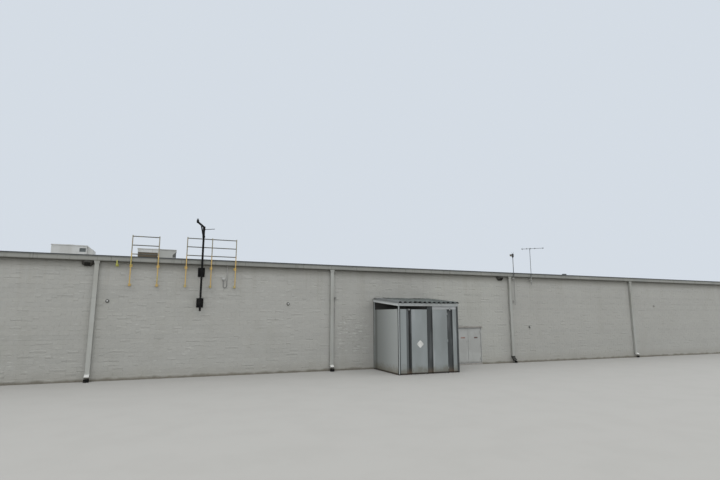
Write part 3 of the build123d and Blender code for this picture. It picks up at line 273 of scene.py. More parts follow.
def wall_paint(name, drawn_beds=False):
    """Weathered masonry paint: a little uneven from block to block, with rain marks, grime at the foot,
    painted shade under the gutter and inside the shed, and painted highlights and shade on the broken block
    edges.
    """
    paint = Finish(name, wall_paint_colour, 0.9)
    x, y, z = paint.axis("X"), paint.axis("Y"), paint.axis("Z")
    row = paint.sum("FLOOR", paint.sum("DIVIDE", z, course))
    half = paint.sum("MULTIPLY", paint.sum("MODULO", row, 2.0), 0.5)
    for across in (x, y):
        number = paint.sum("FLOOR", paint.sum("ADD", paint.sum("DIVIDE", across, block_length), half))
        pair = paint.node("ShaderNodeCombineXYZ")
        paint.feed(pair.inputs[0], number)
        paint.feed(pair.inputs[1], row)
        draw = paint.node("ShaderNodeTexWhiteNoise", noise_dimensions="2D")
        paint.feed(draw.inputs["Vector"], pair.outputs[0])
        paint.tint((0.972, 0.974, 0.976), paint.between(draw.outputs["Value"], 0.3, 1.0))
    paint.mottle((0.955, 0.955, 0.95), 0.4, 0.62, 0.3, detail=3.0)
    paint.mottle((0.965, 0.965, 0.955), 0.5, 0.7, 2.2, (1.0, 1.0, 0.35))

    # Painted highlights and painted shade in short streaks stand for the light and shade on the broken edges
    # of the blocks, most of all left of the shed, with more of them in a patch just left of the shed. By the
    # exit the wall is painted a little lighter, against the shade it gets there.
    uneven = paint.product(paint.between(paint.clouds(0.55, detail=2.0), 0.40, 0.58, 0.25, 1.0),
                           paint.between(x, 3.5, -1.0, 0.4, 1.0))
    edge_highlight = paint.between(paint.clouds(4.5, (1.0, 1.0, 6.0), 3.0, 0.6), 0.61, 0.72, 0.0, 0.7)
    paint.lay(edge_highlight_colour, paint.product(edge_highlight, uneven))
    edge_shade = paint.between(paint.clouds(3.7, (1.0, 1.0, 7.0), 3.0, 0.6), 0.62, 0.72, 0.0, 0.6)
    paint.tint((0.84, 0.835, 0.82), paint.product(edge_shade, uneven))
    # Painted highlights and painted shade in flecks, in a patch left of the shed, from about half a metre to
    # one and a half metres up.
    service_side = paint.between(y, 0.0, -1.0)
    fleck_patch = paint.product(service_side, *(paint.between(x, *side) for side in fleck_patch_sides),
                         *(paint.between(z, *level) for level in fleck_patch_levels))
    fleck_highlight = paint.between(paint.clouds(6.0, (1.0, 1.0, 3.5), 4.0, 0.6), 0.54, 0.66, 0.0, 0.9)
    paint.lay(fleck_highlight_colour, paint.product(fleck_highlight, fleck_patch))
    fleck_shade = paint.between(paint.clouds(7.0, (1.0, 1.0, 4.0), 4.0, 0.6), 0.56, 0.68, 0.0, 0.9)
    paint.tint((0.80, 0.80, 0.79), paint.product(fleck_shade, fleck_patch))
    # Painted light: by the exit the wall is lightened a little against the shade there.
    lift_by_exit = paint.product(service_side, *(paint.between(x, *side) for side in lift_by_exit_sides))
    paint.tint((1.065, 1.07, 1.065), lift_by_exit)

    # Rain marks and a shade under the gutter, splashes at the foot.
    run_off = paint.between(paint.clouds(5.0, (1.0, 1.0, 0.05), 5.0), 0.54, 0.7)
    paint.tint((0.94, 0.935, 0.92), paint.product(run_off, paint.between(z, 1.2, under_gutter)))
    paint.tint((0.78, 0.76, 0.71), paint.between(z, under_gutter - 0.04, under_gutter + 0.005))
    paint.tint((0.68, 0.675, 0.655), paint.between(z, under_gutter - 0.27, under_gutter - 0.05))
    splash = paint.sum("ADD", z, paint.sum("MULTIPLY", paint.clouds(4.0, detail=6.0), -0.12))
    paint.tint((0.50, 0.47, 0.42), paint.between(splash, 0.025, -0.045))
    paint.tint((0.93, 0.92, 0.90), paint.between(splash, 0.30, 0.0))

    # Unlit wall inside the shed.
    low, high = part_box("shed_posts")
    paint.lay(dark_inside, paint.product(paint.between(y, -1.0, -2.0),
                                         paint.band(x, low.x + post_cover, high.x - post_cover, 0.005),
                                         paint.between(z, high.z + 0.02, high.z)))
    paint.grain(0.0045, 24.0, (1.0, 1.0, 1.3), 6.0, 0.62, strength=0.8)
    if drawn_beds:
        bed = bed_line(paint, 0.455)
        paint.tint((0.72, 0.71, 0.68), paint.sum("SUBTRACT", 1.0, bed))
        paint.relief(bed, 0.006)
    return paint.done()


def bed_line(paint, edge):
    """Falls from 1 on the face of a course to 0 in its bed joints."""
    place = paint.sum("FRACT", paint.sum("DIVIDE", paint.axis("Z"), course))
    return paint.between(paint.sum("ABSOLUTE", paint.sum("SUBTRACT", place, 0.5)), 0.5, edge)


def even_lines(start, end, step, cuts):
    """Grid lines from start to end: each multiple of step and the cuts after it."""
    lines = [start, end]
    number = math.floor(start / step)
    while number * step < end:
        lines += [number * step + cut for cut in cuts]
        number += 1
    inside = sorted(line for line in lines if start + 0.002 < line < end - 0.002)
    return [start] + inside + [end]


def block_wall(name, low, high, z0, z1, place, cuts, seed):
    """A wall of split-face blocks from low to high along its length, closed at its back and edges.

    place turns (along, up, inwards) into a point. cuts are the grid lines in a half block and a course.
    Returns the mesh and how many of its faces, from the first on, look outwards.
    """
    across, up = cuts
    half_block = block_length / 2
    along_lines = even_lines(low, high, half_block, across)
    up_lines = even_lines(z0, z1, course, up)
    draw = random.Random(seed)
    faces_of_blocks = {}
    lips = {}
    inner_cuts = [cut for cut in up if joint_half_width < cut < course - joint_half_width]
    for row in range(math.floor(z0 / course), math.ceil(z1 / course)):
        cell = math.floor(low / half_block)
        while cell * half_block < high:
            if draw.random() < lip_share:
                level = draw.choice(inner_cuts)
                for number in range(draw.choice((1, 1, 2, 3))):
                    lips[cell + number, row] = level
                cell += 3
            cell += 1

    def block_face(number, row):
        """How far one block's face stands back in its middle, and how the face leans."""
        if (number, row) not in faces_of_blocks:
            lean = (draw.uniform(-1, 1) * face_tilt, draw.uniform(-1, 1) * face_tilt)
            faces_of_blocks[number, row] = (face_depth + draw.uniform(-1, 1) * face_spread, lean)
        return faces_of_blocks[number, row]

    points = []
    for up_line in up_lines:
        row = math.floor(up_line / course + 1e-6)
        cut = up_line - row * course
        on_bed = abs(up_line - round(up_line / course) * course) < 1e-5
        shift = 0.5 * (row % 2)
        for along_line in along_lines:
            number = math.floor(along_line / block_length + shift + 1e-6)
            position = along_line / block_length + shift
            on_joint = abs(position - round(position)) < 1e-4
            back, lean = block_face(number, row)
            from_middle = (position - number - 0.5, up_line / course - row - 0.5)
            depth = back + lean[0] * from_middle[0] + lean[1] * from_middle[1] * 2.0
            depth += draw.uniform(-1, 1) * face_chips
            lip = lips.get((math.floor(along_line / half_block + 1e-6), row))
            wander = face_wander if joint_half_width < cut < course - joint_half_width - 1e-4 else 0.0
            lifted = up_line + draw.uniform(-1, 1) * wander
            if on_bed or on_joint:
                depth = joint_depth + draw.uniform(0, 1) * face_chips
            elif lip is not None:
                above = cut > lip - 1e-4
                depth = draw.uniform(0.0, 0.0008) if above and cut < lip + 1e-4 else depth
                depth += 0.0 if above else lip_undercut
            points.append(place(along_line, lifted, max(depth, 0.0)))
    columns, rows = len(along_lines), len(up_lines)
    faces = []
    for j in range(rows - 1):
        for i in range(columns - 1):
            corner = j * columns + i
            faces.append((corner, corner + 1, corner + columns + 1, corner + columns))
    rim = list(range(columns))
    rim += [j * columns + columns - 1 for j in range(1, rows)]
    rim += [(rows - 1) * columns + i for i in range(columns - 2, -1, -1)]
    rim += [j * columns for j in range(rows - 2, 0, -1)]
    first_back = len(points)
    for corner in rim:
        along_line, up_line = along_lines[corner % columns], up_lines[corner // columns]
        points.append(place(along_line, up_line, wall_thickness))
    count = len(rim)
    for i in range(count):
        j = (i + 1) % count
        faces.append((rim[j], rim[i], first_back + i, first_back + j))
    faces.append(tuple(first_back + i for i in range(count)))
    mesh = bpy.data.meshes.new(name)
    mesh.from_pydata(points, [], faces)
    return mesh, len(faces) - count - 1


def set_wall(mesh, finishes, kinds, node):
    """Paints each face of a wall and sets it in the building in place of its plain slab."""
    for finish in finishes:
        mesh.materials.append(finish)
    for face, kind in zip(mesh.polygons, kinds):
        face.material_index = kind
    wall = stand(node + "_blocks", mesh)
    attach(wall, "building")
    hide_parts(node)


def long_wall(node, ends, feet, place, cuts, seed):
    """A whole wall along the building, with its outside, inside and end faces."""
    mesh, front_faces = block_wall(node + "_blocks", *ends, feet, wall_top, place, cuts, seed)
    shape = bmesh.new()
    shape.from_mesh(mesh)
    bmesh.ops.recalc_face_normals(shape, faces=shape.faces)
    shape.to_mesh(mesh)
    shape.free()
    kinds = [0 if number < front_faces else 2 if abs(face.normal.x) > 0.7 else 1
             for number, face in enumerate(mesh.polygons)]
    set_wall(mesh, (outside_blocks, inside_blocks, end_blocks), kinds, node)


outside_blocks = wall_paint("painted_split_face_block")
end_blocks = wall_paint("painted_block_ends", drawn_beds=True)
inside_paint = Finish("inside_block_paint", (0.62, 0.61, 0.58), 0.75)
inside_paint.mottle((0.90, 0.89, 0.87), 0.4, 0.65, 0.6)
inside_paint.relief(bed_line(inside_paint, 0.46), 0.004)
inside_blocks = inside_paint.done()
fine_cuts = ((0.0, joint_half_width, 0.05, course - joint_half_width),
             (0.0, joint_half_width, 0.033, 0.069, course - joint_half_width))
plain_cuts = ((0.0, joint_half_width, course - joint_half_width),
              (0.0, joint_half_width, 0.05, course - joint_half_width))


def on_service_side(along, up, inwards):
    """A point of a service wall. Its top slopes with the roof."""
    rise = inwards * roof_pitch if up > wall_top - 1e-4 else 0.0
    return (along, rear_face + inwards, up + rise)


def on_far_side(along, up, inwards):
    """The same point of the far wall, across the building."""
    x, y, z = on_service_side(along, up, inwards)
    return (x, -y, z)


for number, node in enumerate(("rear_wall_left", "rear_wall_over_door", "rear_wall_right")):
    low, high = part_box(node)
    long_wall(node, (low.x, high.x), low.z, on_service_side, fine_cuts, 20 + number)
long_wall("front_wall", (left_end, right_end), 0.0, on_far_side, plain_cuts, 31)


def gable_wall(node, place, seed):
    """An end wall: blocks up to the ridge's height, cut off along both roof slopes."""
    low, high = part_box(node)
    mesh, front_faces = block_wall(node + "_blocks", low.y, high.y, 0.0, high.z + 0.02, place, plain_cuts,
                                   seed)
    shape = bmesh.new()
    shape.from_mesh(mesh)
    mark = shape.faces.layers.int.new("outside")
    shape.faces.ensure_lookup_table()
    for face in shape.faces:
        face[mark] = 1 if face.index < front_faces else 0
    for way in (-1, 1):
        above = Vector((0.0, way * roof_pitch, 1.0)).normalized()
        whole = shape.verts[:] + shape.edges[:] + shape.faces[:]
        cut = bmesh.ops.bisect_plane(shape, geom=whole, plane_co=(0.0, 0.0, high.z), plane_no=above,
                                     clear_outer=True, dist=1e-6)
        rim = [part for part in cut["geom_cut"] if isinstance(part, bmesh.types.BMEdge)]
        for face in bmesh.ops.contextual_create(shape, geom=rim)["faces"]:
            face[mark] = 0
    bmesh.ops.recalc_face_normals(shape, faces=shape.faces)
    kinds = [1 - face[mark] for face in shape.faces]
    shape.to_mesh(mesh)
    shape.free()
    set_wall(mesh, (outside_blocks, inside_blocks), kinds, node)


gable_wall("end_wall_left", lambda along, up, inwards: (left_end + inwards, along, up), 41)
gable_wall("end_wall_right", lambda along, up, inwards: (right_end - inwards, along, up), 42)


# Steel frame inside.
# Square tube columns on base plates carry welded I-section girders on the bay lines. The steel has
# only its dull red-brown shop primer, scuffed grey at the edges.
primer = Finish("red_primer", (0.14, 0.055, 0.035), 0.65)
primer.patch((0.20, 0.09, 0.06), 0.45, 0.7, 3.0)
primer.patch((0.16, 0.15, 0.14), 0.62, 0.72, 22.0, detail=6.0)
primer.grain(0.0006, 60.0)
put_on(primer.done(), "roof_girders", "steel_columns")


# Roof sheets, ridge cap and rake trims.
# Each slope is coated sheet with standing seams from ridge to eave, closed at the eave by a dark strip
# folded over the seam ends. Folded trim covers the gable edges and the ridge.
roof = Finish("coated_roof_sheet", (0.36, 0.37, 0.37), 0.5, 0.1)
roof.mottle((0.84, 0.84, 0.83), 0.4, 0.65, 0.5, (1.0, 0.25, 1.0))
roof.mottle((0.80, 0.79, 0.76), 0.52, 0.7, 7.0, (1.0, 0.08, 1.0), detail=6.0)
from_ridge = roof.sum("ABSOLUTE", roof.axis("Y"))
eave_strip = 8.5585
roof.tint((0.80, 0.79, 0.77), roof.between(from_ridge, 7.6, 8.5))
roof.lay((0.055, 0.06, 0.06), roof.between(from_ridge, eave_strip, eave_strip + 0.0013))
roof.rough(roof.between(roof.clouds(4.0), 0.35, 0.65, 0.42, 0.62))
roof.grain(0.006, 1.6, (1.0, 0.4, 1.0), strength=0.5)
put_on(roof.done(), "roof_rear", "roof_front")

trim = Finish("folded_roof_trim", (0.20, 0.205, 0.20), 0.5)
trim.mottle((0.84, 0.83, 0.81), 0.42, 0.62, 0.8)
trim.mottle((0.76, 0.74, 0.70), 0.55, 0.72, 9.0, (1.0, 1.0, 0.3), detail=6.0)
trim.grain(0.003, 2.5, strength=0.5)
put_on(trim.done(), "ridge_cap", "rake_trims")


# Box gutters.
# The gutters are folded sheet in lengths, lapped and screwed to the wall under the eave. The paint has
# dulled to grey, with rain marks down the face and dirt along the laps.
gutter = Finish("gutter_paint", (0.236, 0.238, 0.218), 0.55)
gutter.mottle((0.86, 0.87, 0.88), 0.42, 0.6, 0.7, (1.0, 1.0, 0.2))
gutter.mottle((0.72, 0.71, 0.68), 0.55, 0.72, 16.0, (1.0, 1.0, 0.06), detail=6.0)
gutter_length = 1.524
lap_offset = 0.62
lengths = gutter.sum("DIVIDE", gutter.sum("ADD", gutter.axis("X"), lap_offset), gutter_length)
to_lap = gutter.sum("ABSOLUTE", gutter.sum("SUBTRACT", gutter.sum("FRACT", lengths), 0.5))
gutter.tint((0.62, 0.61, 0.58), gutter.between(to_lap, 0.4955, 0.4985))
# Painted shade along the lower edge of the face and on the undersides. The face is also darker towards its
# top.
gutter.tint((0.58, 0.57, 0.54), gutter.along("Z", under_gutter + 0.026, under_gutter + 0.008))
gutter.tint((0.80, 0.80, 0.79), gutter.along("Z", under_gutter + 0.06, under_gutter + 0.10))
gutter.tint((0.45, 0.44, 0.41), gutter.turned("Z", -0.6, -0.9))
gutter.relief(gutter.between(to_lap, 0.494, 0.4985), 0.004)
gutter.grain(0.004, 3.0, (1.0, 1.0, 0.3), strength=0.5)
put_on(gutter.done(), "rear_gutter", "front_gutter")


# Downspouts and drain boots.
# Each downspout is a 127 by 178 mm pipe of folded sheet, held by straps with screws in the blocks and
# painted with the wall. Its shoe is newer and whiter. Black plastic drain pipes stand at the feet.
spouts_at = (-8.5225, -2.8525, 3.1325, 8.5225)
shoe_top = 0.157
black_shoe_top = 0.215
spout_paint = Finish("downspout_paint", (0.345, 0.35, 0.33), 0.6)
spout_x, spout_z = spout_paint.axis("X"), spout_paint.axis("Z")
spout_paint.mottle((0.90, 0.89, 0.87), 0.42, 0.62, 1.4, (1.0, 1.0, 0.5))
spout_paint.mottle((0.84, 0.83, 0.80), 0.55, 0.72, 18.0, (1.0, 1.0, 0.04), detail=6.0)
# Painted shade at the top of each downspout, under the gutter.
spout_paint.tint((0.80, 0.80, 0.79), spout_paint.between(spout_z, 2.55, 2.68))
spout_paint.tint((0.93, 0.93, 0.93), spout_paint.between(spout_x, -6.0, -5.0))
spout_paint.lay((0.52, 0.52, 0.50), spout_paint.past(spout_z, shoe_top, -0.005))
to_third = spout_paint.sum("ABSOLUTE", spout_paint.sum("SUBTRACT", spout_x, spouts_at[2]))
on_third = spout_paint.between(to_third, 0.3, 0.2)
black_shoe = spout_paint.past(spout_z, black_shoe_top, -0.003)
spout_paint.lay((0.035, 0.034, 0.028), spout_paint.product(on_third, black_shoe))
spout_paint.tint((0.40, 0.38, 0.34), spout_paint.between(spout_z, 0.118, 0.095))
spout_paint.grain(0.003, 5.0, (1.0, 1.0, 0.3), strength=0.5)
spout_finish = spout_paint.done()
put_on(spout_finish, "rear_downspouts", "front_downspouts")


def loft(shape, rings, finish=0, smooth=True):
    """Adds a closed form through rings that have as many corners each."""
    rings = [[shape.verts.new(spot) for spot in ring] for ring in rings]
    faces = [shape.faces.new(rings[0][::-1]), shape.faces.new(rings[-1])]
    for lower, upper in zip(rings, rings[1:]):
        for number in range(len(lower)):
            after = (number + 1) % len(lower)
            faces.append(shape.faces.new((lower[number], lower[after], upper[after], upper[number])))
    for face in faces:
        face.material_index = finish
        face.smooth = smooth
    bmesh.ops.recalc_face_normals(shape, faces=faces)


def lathe(shape, foot, way, profile, sides, finish=0):
    """Adds a closed turned form: rings of (distance along way, radius) round an axis from foot."""
    turn = Vector(way).to_track_quat("Z", "Y").to_matrix()
    angles = [math.tau * number / sides for number in range(sides)]
    rings = [[Vector(foot) + turn @ Vector((radius * math.cos(angle), radius * math.sin(angle), distance))
              for angle in angles] for distance, radius in profile]
    loft(shape, rings, finish, sides > 6)


def screw(shape, spot, way, radius):
    """Adds a hexagon head on its washer."""
    washer = ((0, 1.7), (0.2, 1.7), (0.3, 1.55))
    head = ((0.1, 1.0), (0.85, 1.0), (1.0, 0.85))
    for outline, sides in ((washer, 14), (head, 6)):
        lathe(shape, spot, way, [(distance * radius, share * radius) for distance, share in outline], sides)


def mount(name, shape, body, slot, finishes, *replaced):
    """Turns a shape into a piece of the building, with its finishes."""
    mesh = bpy.data.meshes.new(name)
    shape.to_mesh(mesh)
    shape.free()
    mesh.set_sharp_from_angle(angle=math.radians(34.0))
    for finish in finishes:
        mesh.materials.append(finish)
    piece = stand(name, mesh)
    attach(piece, body)
    if replaced:
        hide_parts(*replaced)


def solids_of(node):
    """The lowest and highest corner of each separate solid in a node, from left to right."""
    shape = bmesh.new()
    shape.from_mesh(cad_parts[node].data)
    bmesh.ops.remove_doubles(shape, verts=shape.verts, dist=1e-6)
    left, boxes = set(shape.verts), []
    while left:
        ends = [left.pop()]
        found = list(ends)
        while ends:
            for edge in ends.pop().link_edges:
                for corner in edge.verts:
                    if corner in left:
                        left.remove(corner)
                        ends.append(corner)
                        found.append(corner)
        spots = [corner.co.copy() for corner in found]
        boxes.append((Vector([min(spot[i] for spot in spots) for i in range(3)]),
                      Vector([max(spot[i] for spot in spots) for i in range(3)])))
    shape.free()
    return sorted(boxes, key=lambda box: box[0].x)


outward = Vector((0.0, -1.0, 0.0))
front_face = -rear_face
pipe_foot = 0.175
strap_height = 0.014
strap_sheet = 0.003
strap_screw_reach = 0.0585
strap_screw_radius = 0.003
straps_per_pipe = 2
strap_step = (under_gutter - pipe_foot) / (straps_per_pipe + 1)
for wall_side, node in ((-1, "rear_downspouts"), (1, "front_downspouts")):
    heads = bmesh.new()
    for spout in spouts_at:
        for number in range(1, straps_per_pipe + 1):
            for side in (-1, 1):
                place = (spout * -wall_side + side * strap_screw_reach,
                         wall_side * (front_face + strap_sheet),
                         pipe_foot + number * strap_step + strap_height / 2)
                screw(heads, place, outward * -wall_side, strap_screw_radius)
    mount(node + "_strap_screws", heads, "building", "downspout_paint", [spout_finish])

drain = Finish("black_drain_pipe", (0.006, 0.006, 0.006), 0.8)
drain.shader.inputs["Specular IOR Level"].default_value = 0.15
drain.patch((0.022, 0.02, 0.016), 0.5, 0.7, 20.0, detail=5.0)
drain.grain(0.0006, 70.0)
put_on(drain.done(), "drain_boots")


# Exit door pair.
# Two flush steel leaves hang in a steel frame under a drip cap, all painted with the wall, and scuffed
# by hands and feet. Each has an enamelled plate outside and a steel push bar inside.
door_paint = Finish("exit_door_paint", (0.35, 0.355, 0.345), 0.5)
door_paint.mottle((0.90, 0.90, 0.89), 0.42, 0.6, 2.2)
door_paint.mottle((0.80, 0.79, 0.77), 0.58, 0.72, 26.0, (1.0, 1.0, 0.2), detail=6.0)
door_paint.tint((0.74, 0.71, 0.66), door_paint.along("Z", 0.12, 0.04))
door_paint.grain(0.0015, 9.0, strength=0.5)
put_on(door_paint.done(), "exit_door_jambs", "exit_door_head", "exit_door_left", "exit_door_right")


def bare_plate(name, body, slot, middle, width, height, tilt, finish):
    """A thin enamelled plate with rounded corners and nothing on it, screwed flat on at its corners."""
    thickness, corner, edge = 0.002, min(width, height) * 0.16, 0.0006
    turn = Matrix.Rotation(tilt, 3, "Y")
    shape = bmesh.new()
    corners = ((1, 1), (-1, 1), (-1, -1), (1, -1))

    def ring(inset, forward):
        """The plate's outline, drawn in by inset and brought forward."""
        spots = []
        for number, (side_x, side_z) in enumerate(corners):
            for step in range(5):
                angle = math.radians(90.0 * number + 22.5 * step)
                x = side_x * (width / 2 - corner) + (corner - inset) * math.cos(angle)
                z = side_z * (height / 2 - corner) + (corner - inset) * math.sin(angle)
                spots.append(Vector(middle) + turn @ Vector((x, -forward, z)))
        return spots

    loft(shape, [ring(0.0, 0.0), ring(0.0, thickness - edge), ring(edge, thickness)])
    for side_x, side_z in corners:
        reach = Vector((side_x * (width / 2 - corner), -thickness, side_z * (height / 2 - corner)))
        screw(shape, Vector(middle) + turn @ reach, outward, 0.002)
    mount(name, shape, body, slot, [finish])


def enamel(name, colour, faded):
    """Stove enamel on a thin steel plate, chalked by the sun and chipped to rust in spots."""
    finish = Finish(name, colour, 0.35)
    finish.patch(faded, 0.42, 0.66, 9.0, detail=5.0)
    finish.patch((0.12, 0.06, 0.035), 0.68, 0.74, 60.0)
    finish.grain(0.0004, 40.0)
    return finish.done()


leaf_setback = 0.004
exit_plate_level = 0.795
exit_plate_height = 0.042
for side, along, width, finish in (
        ("left", 1.324, 0.150, enamel("faded_red_enamel", (0.23, 0.12, 0.10), (0.29, 0.19, 0.165))),
        ("right", 1.788, 0.125, enamel("dark_red_enamel", (0.10, 0.06, 0.055), (0.17, 0.11, 0.10)))):
    bare_plate("exit_plate_" + side, "exit_" + side + "_leaf", "door_paint",
               (along, rear_face + leaf_setback, exit_plate_level), width, exit_plate_height, 0.0, finish)

cap_paint = Finish("drip_cap_paint", (0.24, 0.225, 0.205), 0.5)
cap_paint.mottle((0.75, 0.73, 0.70), 0.45, 0.65, 14.0, detail=5.0)
cap_paint.grain(0.001, 12.0, strength=0.5)
put_on(cap_paint.done(), "exit_door_drip_cap")

sill = Finish("threshold_aluminium", (0.52, 0.52, 0.51), 0.38, 0.9)
sill.mottle((0.62, 0.60, 0.57), 0.45, 0.68, 18.0, (0.2, 1.0, 1.0), detail=6.0)
sill.grain(0.0004, 220.0, (0.05, 1.0, 1.0))
put_on(sill.done(), "exit_door_threshold")

bar_steel = Finish("push_bar_steel", (0.55, 0.55, 0.56), 0.32, 1.0)
bar_steel.mottle((0.80, 0.79, 0.78), 0.4, 0.65, 12.0, (0.1, 1.0, 1.0))
bar_steel.grain(0.0002, 300.0, (0.03, 1.0, 1.0))
put_on(bar_steel.done(), "exit_push_bar_left", "exit_push_bar_right")


# Lean-to shed.
# A small store of folded steel sheet stands against the wall: pale fascia and corner, blue-grey panels
# and leaves, dark steel channels that the leaves hang on, and a roof of lapped deck sheets on timber.
shed_sole = 0.035
shed_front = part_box("shed_front_panels")[0].y
shed_fascia_paint = Finish("shed_fascia_paint", (0.30, 0.315, 0.315), 0.5)
shed_fascia_paint.mottle((0.84, 0.83, 0.81), 0.42, 0.64, 3.0)
shed_fascia_paint.mottle((0.70, 0.67, 0.62), 0.58, 0.74, 20.0, detail=6.0)
# Painted shade on the undersides, and a painted highlight on the faces that look left.
shed_fascia_paint.tint((0.45, 0.46, 0.46), shed_fascia_paint.turned("Z", -0.5, -0.9))
shed_fascia_paint.lay((0.53, 0.55, 0.55), shed_fascia_paint.turned("X", -0.5, -0.9))
shed_fascia_paint.grain(0.002, 8.0, strength=0.5)
put_on(shed_fascia_paint.done(), "shed_fascia")

pale_corner_edge = -1.584
post_paint = Finish("shed_post_paint", (0.042, 0.046, 0.046), 0.5)
on_corner = post_paint.past(post_paint.axis("X"), pale_corner_edge, -0.002)
post_paint.lay((0.34, 0.36, 0.36), post_paint.product(on_corner, post_paint.turned("Y", -0.5, -0.9)))
post_paint.mottle((0.78, 0.76, 0.72), 0.5, 0.7, 9.0, (1.0, 1.0, 0.3), detail=6.0)
post_paint.tint((0.35, 0.31, 0.26), post_paint.along("Z", shed_sole + 0.01, shed_sole - 0.01))
post_paint.grain(0.002, 8.0, strength=0.5)
put_on(post_paint.done(), "shed_posts")

left_edge_at = -1.5475
back_edge = (-8.77, -8.63)
above_doors = 1.6125
right_panel_at = -0.025
sheet = Finish("shed_sheet_paint", (0.265, 0.288, 0.29), 0.5)
x, y, z = sheet.axis("X"), sheet.axis("Y"), sheet.axis("Z")
on_side = sheet.between(sheet.sum("ABSOLUTE", sheet.facing("X")), 0.5, 0.9)
on_front = sheet.turned("Y", -0.5, -0.9)
sheet.mottle((0.88, 0.88, 0.87), 0.42, 0.64, 2.0, (1.0, 1.0, 0.35))
sheet.patch((0.31, 0.33, 0.335), 0.56, 0.72, 4.0, (1.0, 1.0, 0.15))
# Painted shade on the front faces and a painted highlight on the sides, for how the light falls on them.
sheet.tint((0.86, 0.865, 0.87), on_front)
sheet.lay((0.345, 0.362, 0.358), on_side)
shade_by_wall = sheet.between(y, -10.1, -8.7)
left_seam_shade = sheet.past(x, left_edge_at, -0.0025)
head_share = sheet.past(z, above_doors, 0.0025)
right_share = sheet.past(x, right_panel_at, 0.005)
# Painted shade on the sides, darker towards the wall.
sheet.tint((0.60, 0.605, 0.59), sheet.product(on_side, shade_by_wall))
sheet.tint((0.88, 0.88, 0.875), sheet.between(x, -0.56, -0.26))
sheet.tint((0.62, 0.62, 0.61), sheet.product(on_side, sheet.band(y, *back_edge, 0.02)))
# Painted shade in the seam along the left edge of the front.
sheet.tint((0.35, 0.36, 0.36), sheet.product(on_front, left_seam_shade))
sheet.lay((0.31, 0.32, 0.325), sheet.product(on_front, head_share))
sheet.tint((1.13, 1.13, 1.13), sheet.product(on_front, right_share))
# Painted shade on the faces inside the shed.
sheet.tint((0.55, 0.55, 0.55), sheet.turned("Y", 0.5, 0.9))
foot_dirt = sheet.sum("ADD", z, sheet.product(sheet.clouds(9.0), -0.3))
sheet.tint((0.66, 0.60, 0.51), sheet.between(foot_dirt, 0.12, -0.12))
sheet.tint((0.18, 0.13, 0.09), sheet.between(z, shed_sole + 0.016, shed_sole - 0.008))
sheet.grain(0.012, 1.6, (1.0, 1.0, 0.6), strength=0.6)
put_on(sheet.done(), "shed_side_panels", "shed_front_panels", "shed_head", "shed_door_left",
       "shed_door_right")

left_channel_turn = -1.314
left_channel_gap_shade = (-1.303, -1.264)
middle_channels = (-0.795, -0.615)
right_channel_edge = -0.205
channel = Finish("shed_channel_steel", (0.062, 0.068, 0.068), 0.5, 0.2)
x = channel.axis("X")
channel.patch((0.12, 0.128, 0.13), 0.48, 0.66, 7.0, (1.0, 1.0, 0.15))
channel.tint((0.72, 0.72, 0.72), channel.band(x, *middle_channels, 0.005))
channel.lay((0.092, 0.10, 0.102), channel.past(x, left_channel_turn, -0.002))
channel.tint((0.74, 0.74, 0.74), channel.past(x, right_channel_edge, 0.005))
# Painted shade: a black strip stands for the dark gap in the left channel.
channel.lay((0.006, 0.006, 0.006), channel.band(x, *left_channel_gap_shade, 0.003))
channel.lay((0.10, 0.075, 0.05), channel.along("Z", 0.2, 0.0))
channel.tint((0.25, 0.22, 0.2), channel.along("Z", shed_sole + 0.01, shed_sole - 0.01))
channel.grain(0.001, 30.0, strength=0.5)
put_on(channel.done(), "shed_door_jambs")

timber = Finish("shed_timber", (0.035, 0.03, 0.025), 0.85)
timber.patch((0.07, 0.06, 0.05), 0.45, 0.65, 9.0, (0.2, 0.2, 3.0), detail=6.0)
timber.grain(0.001, 60.0, (0.1, 0.1, 1.0))
put_on(timber.done(), "shed_framing")

pin_steel = Finish("worn_pin_steel", (0.55, 0.55, 0.54), 0.45, 0.5)
pin_steel.mottle((0.7, 0.68, 0.65), 0.45, 0.6, 90.0)
pin_steel.grain(0.0003, 200.0)
pivot_cap_radius = 0.032
pin_washer = ((0.0, 0.016), (0.002, 0.016), (0.003, 0.015))
pin_head = ((0.001, 0.011), (0.009, 0.011), (0.010, 0.0095))
cap_corners = [vertex.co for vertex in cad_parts["shed_door_jambs"].data.vertices
               if vertex.co.y < shed_front - 0.005]
door_middle = sum(corner.x for corner in cap_corners) / len(cap_corners)
pins = bmesh.new()
for side in (-1, 1):
    rim = [corner for corner in cap_corners if (corner.x - door_middle) * side > 0]
    middle = (min(corner.x for corner in rim) + max(corner.x for corner in rim)) / 2
    spot = (middle, min(corner.y for corner in rim), max(corner.z for corner in rim) - pivot_cap_radius)
    lathe(pins, spot, outward, pin_washer, 20)
    lathe(pins, spot, outward, pin_head, 6)
mount("shed_pivot_pins", pins, "building", "shed_dark_steel", [pin_steel.done()])

roofing = Finish("shed_deck_sheet", (0.125, 0.14, 0.134), 0.55, 0.2)
roofing.patch((0.06, 0.066, 0.06), 0.48, 0.64, 6.0, (1.0, 0.3, 1.0), detail=6.0)
roofing.patch((0.27, 0.28, 0.28), 0.62, 0.72, 9.0, (1.0, 0.2, 1.0), detail=6.0)
first_roofing = Finish("shed_first_sheet", (0.17, 0.178, 0.18), 0.5, 0.2)
first_roofing.mottle((0.70, 0.69, 0.66), 0.5, 0.66, 8.0, (1.0, 0.2, 1.0))
for finish in (roofing, first_roofing):
    # Painted shade on the undersides of the sheets.
    finish.tint((0.22, 0.22, 0.21), finish.turned("Z", -0.3, -0.7))
    finish.grain(0.001, 12.0, strength=0.5)
roof_finishes = [roofing.done(), first_roofing.done()]
put_on(roof_finishes[0], "shed_roof")

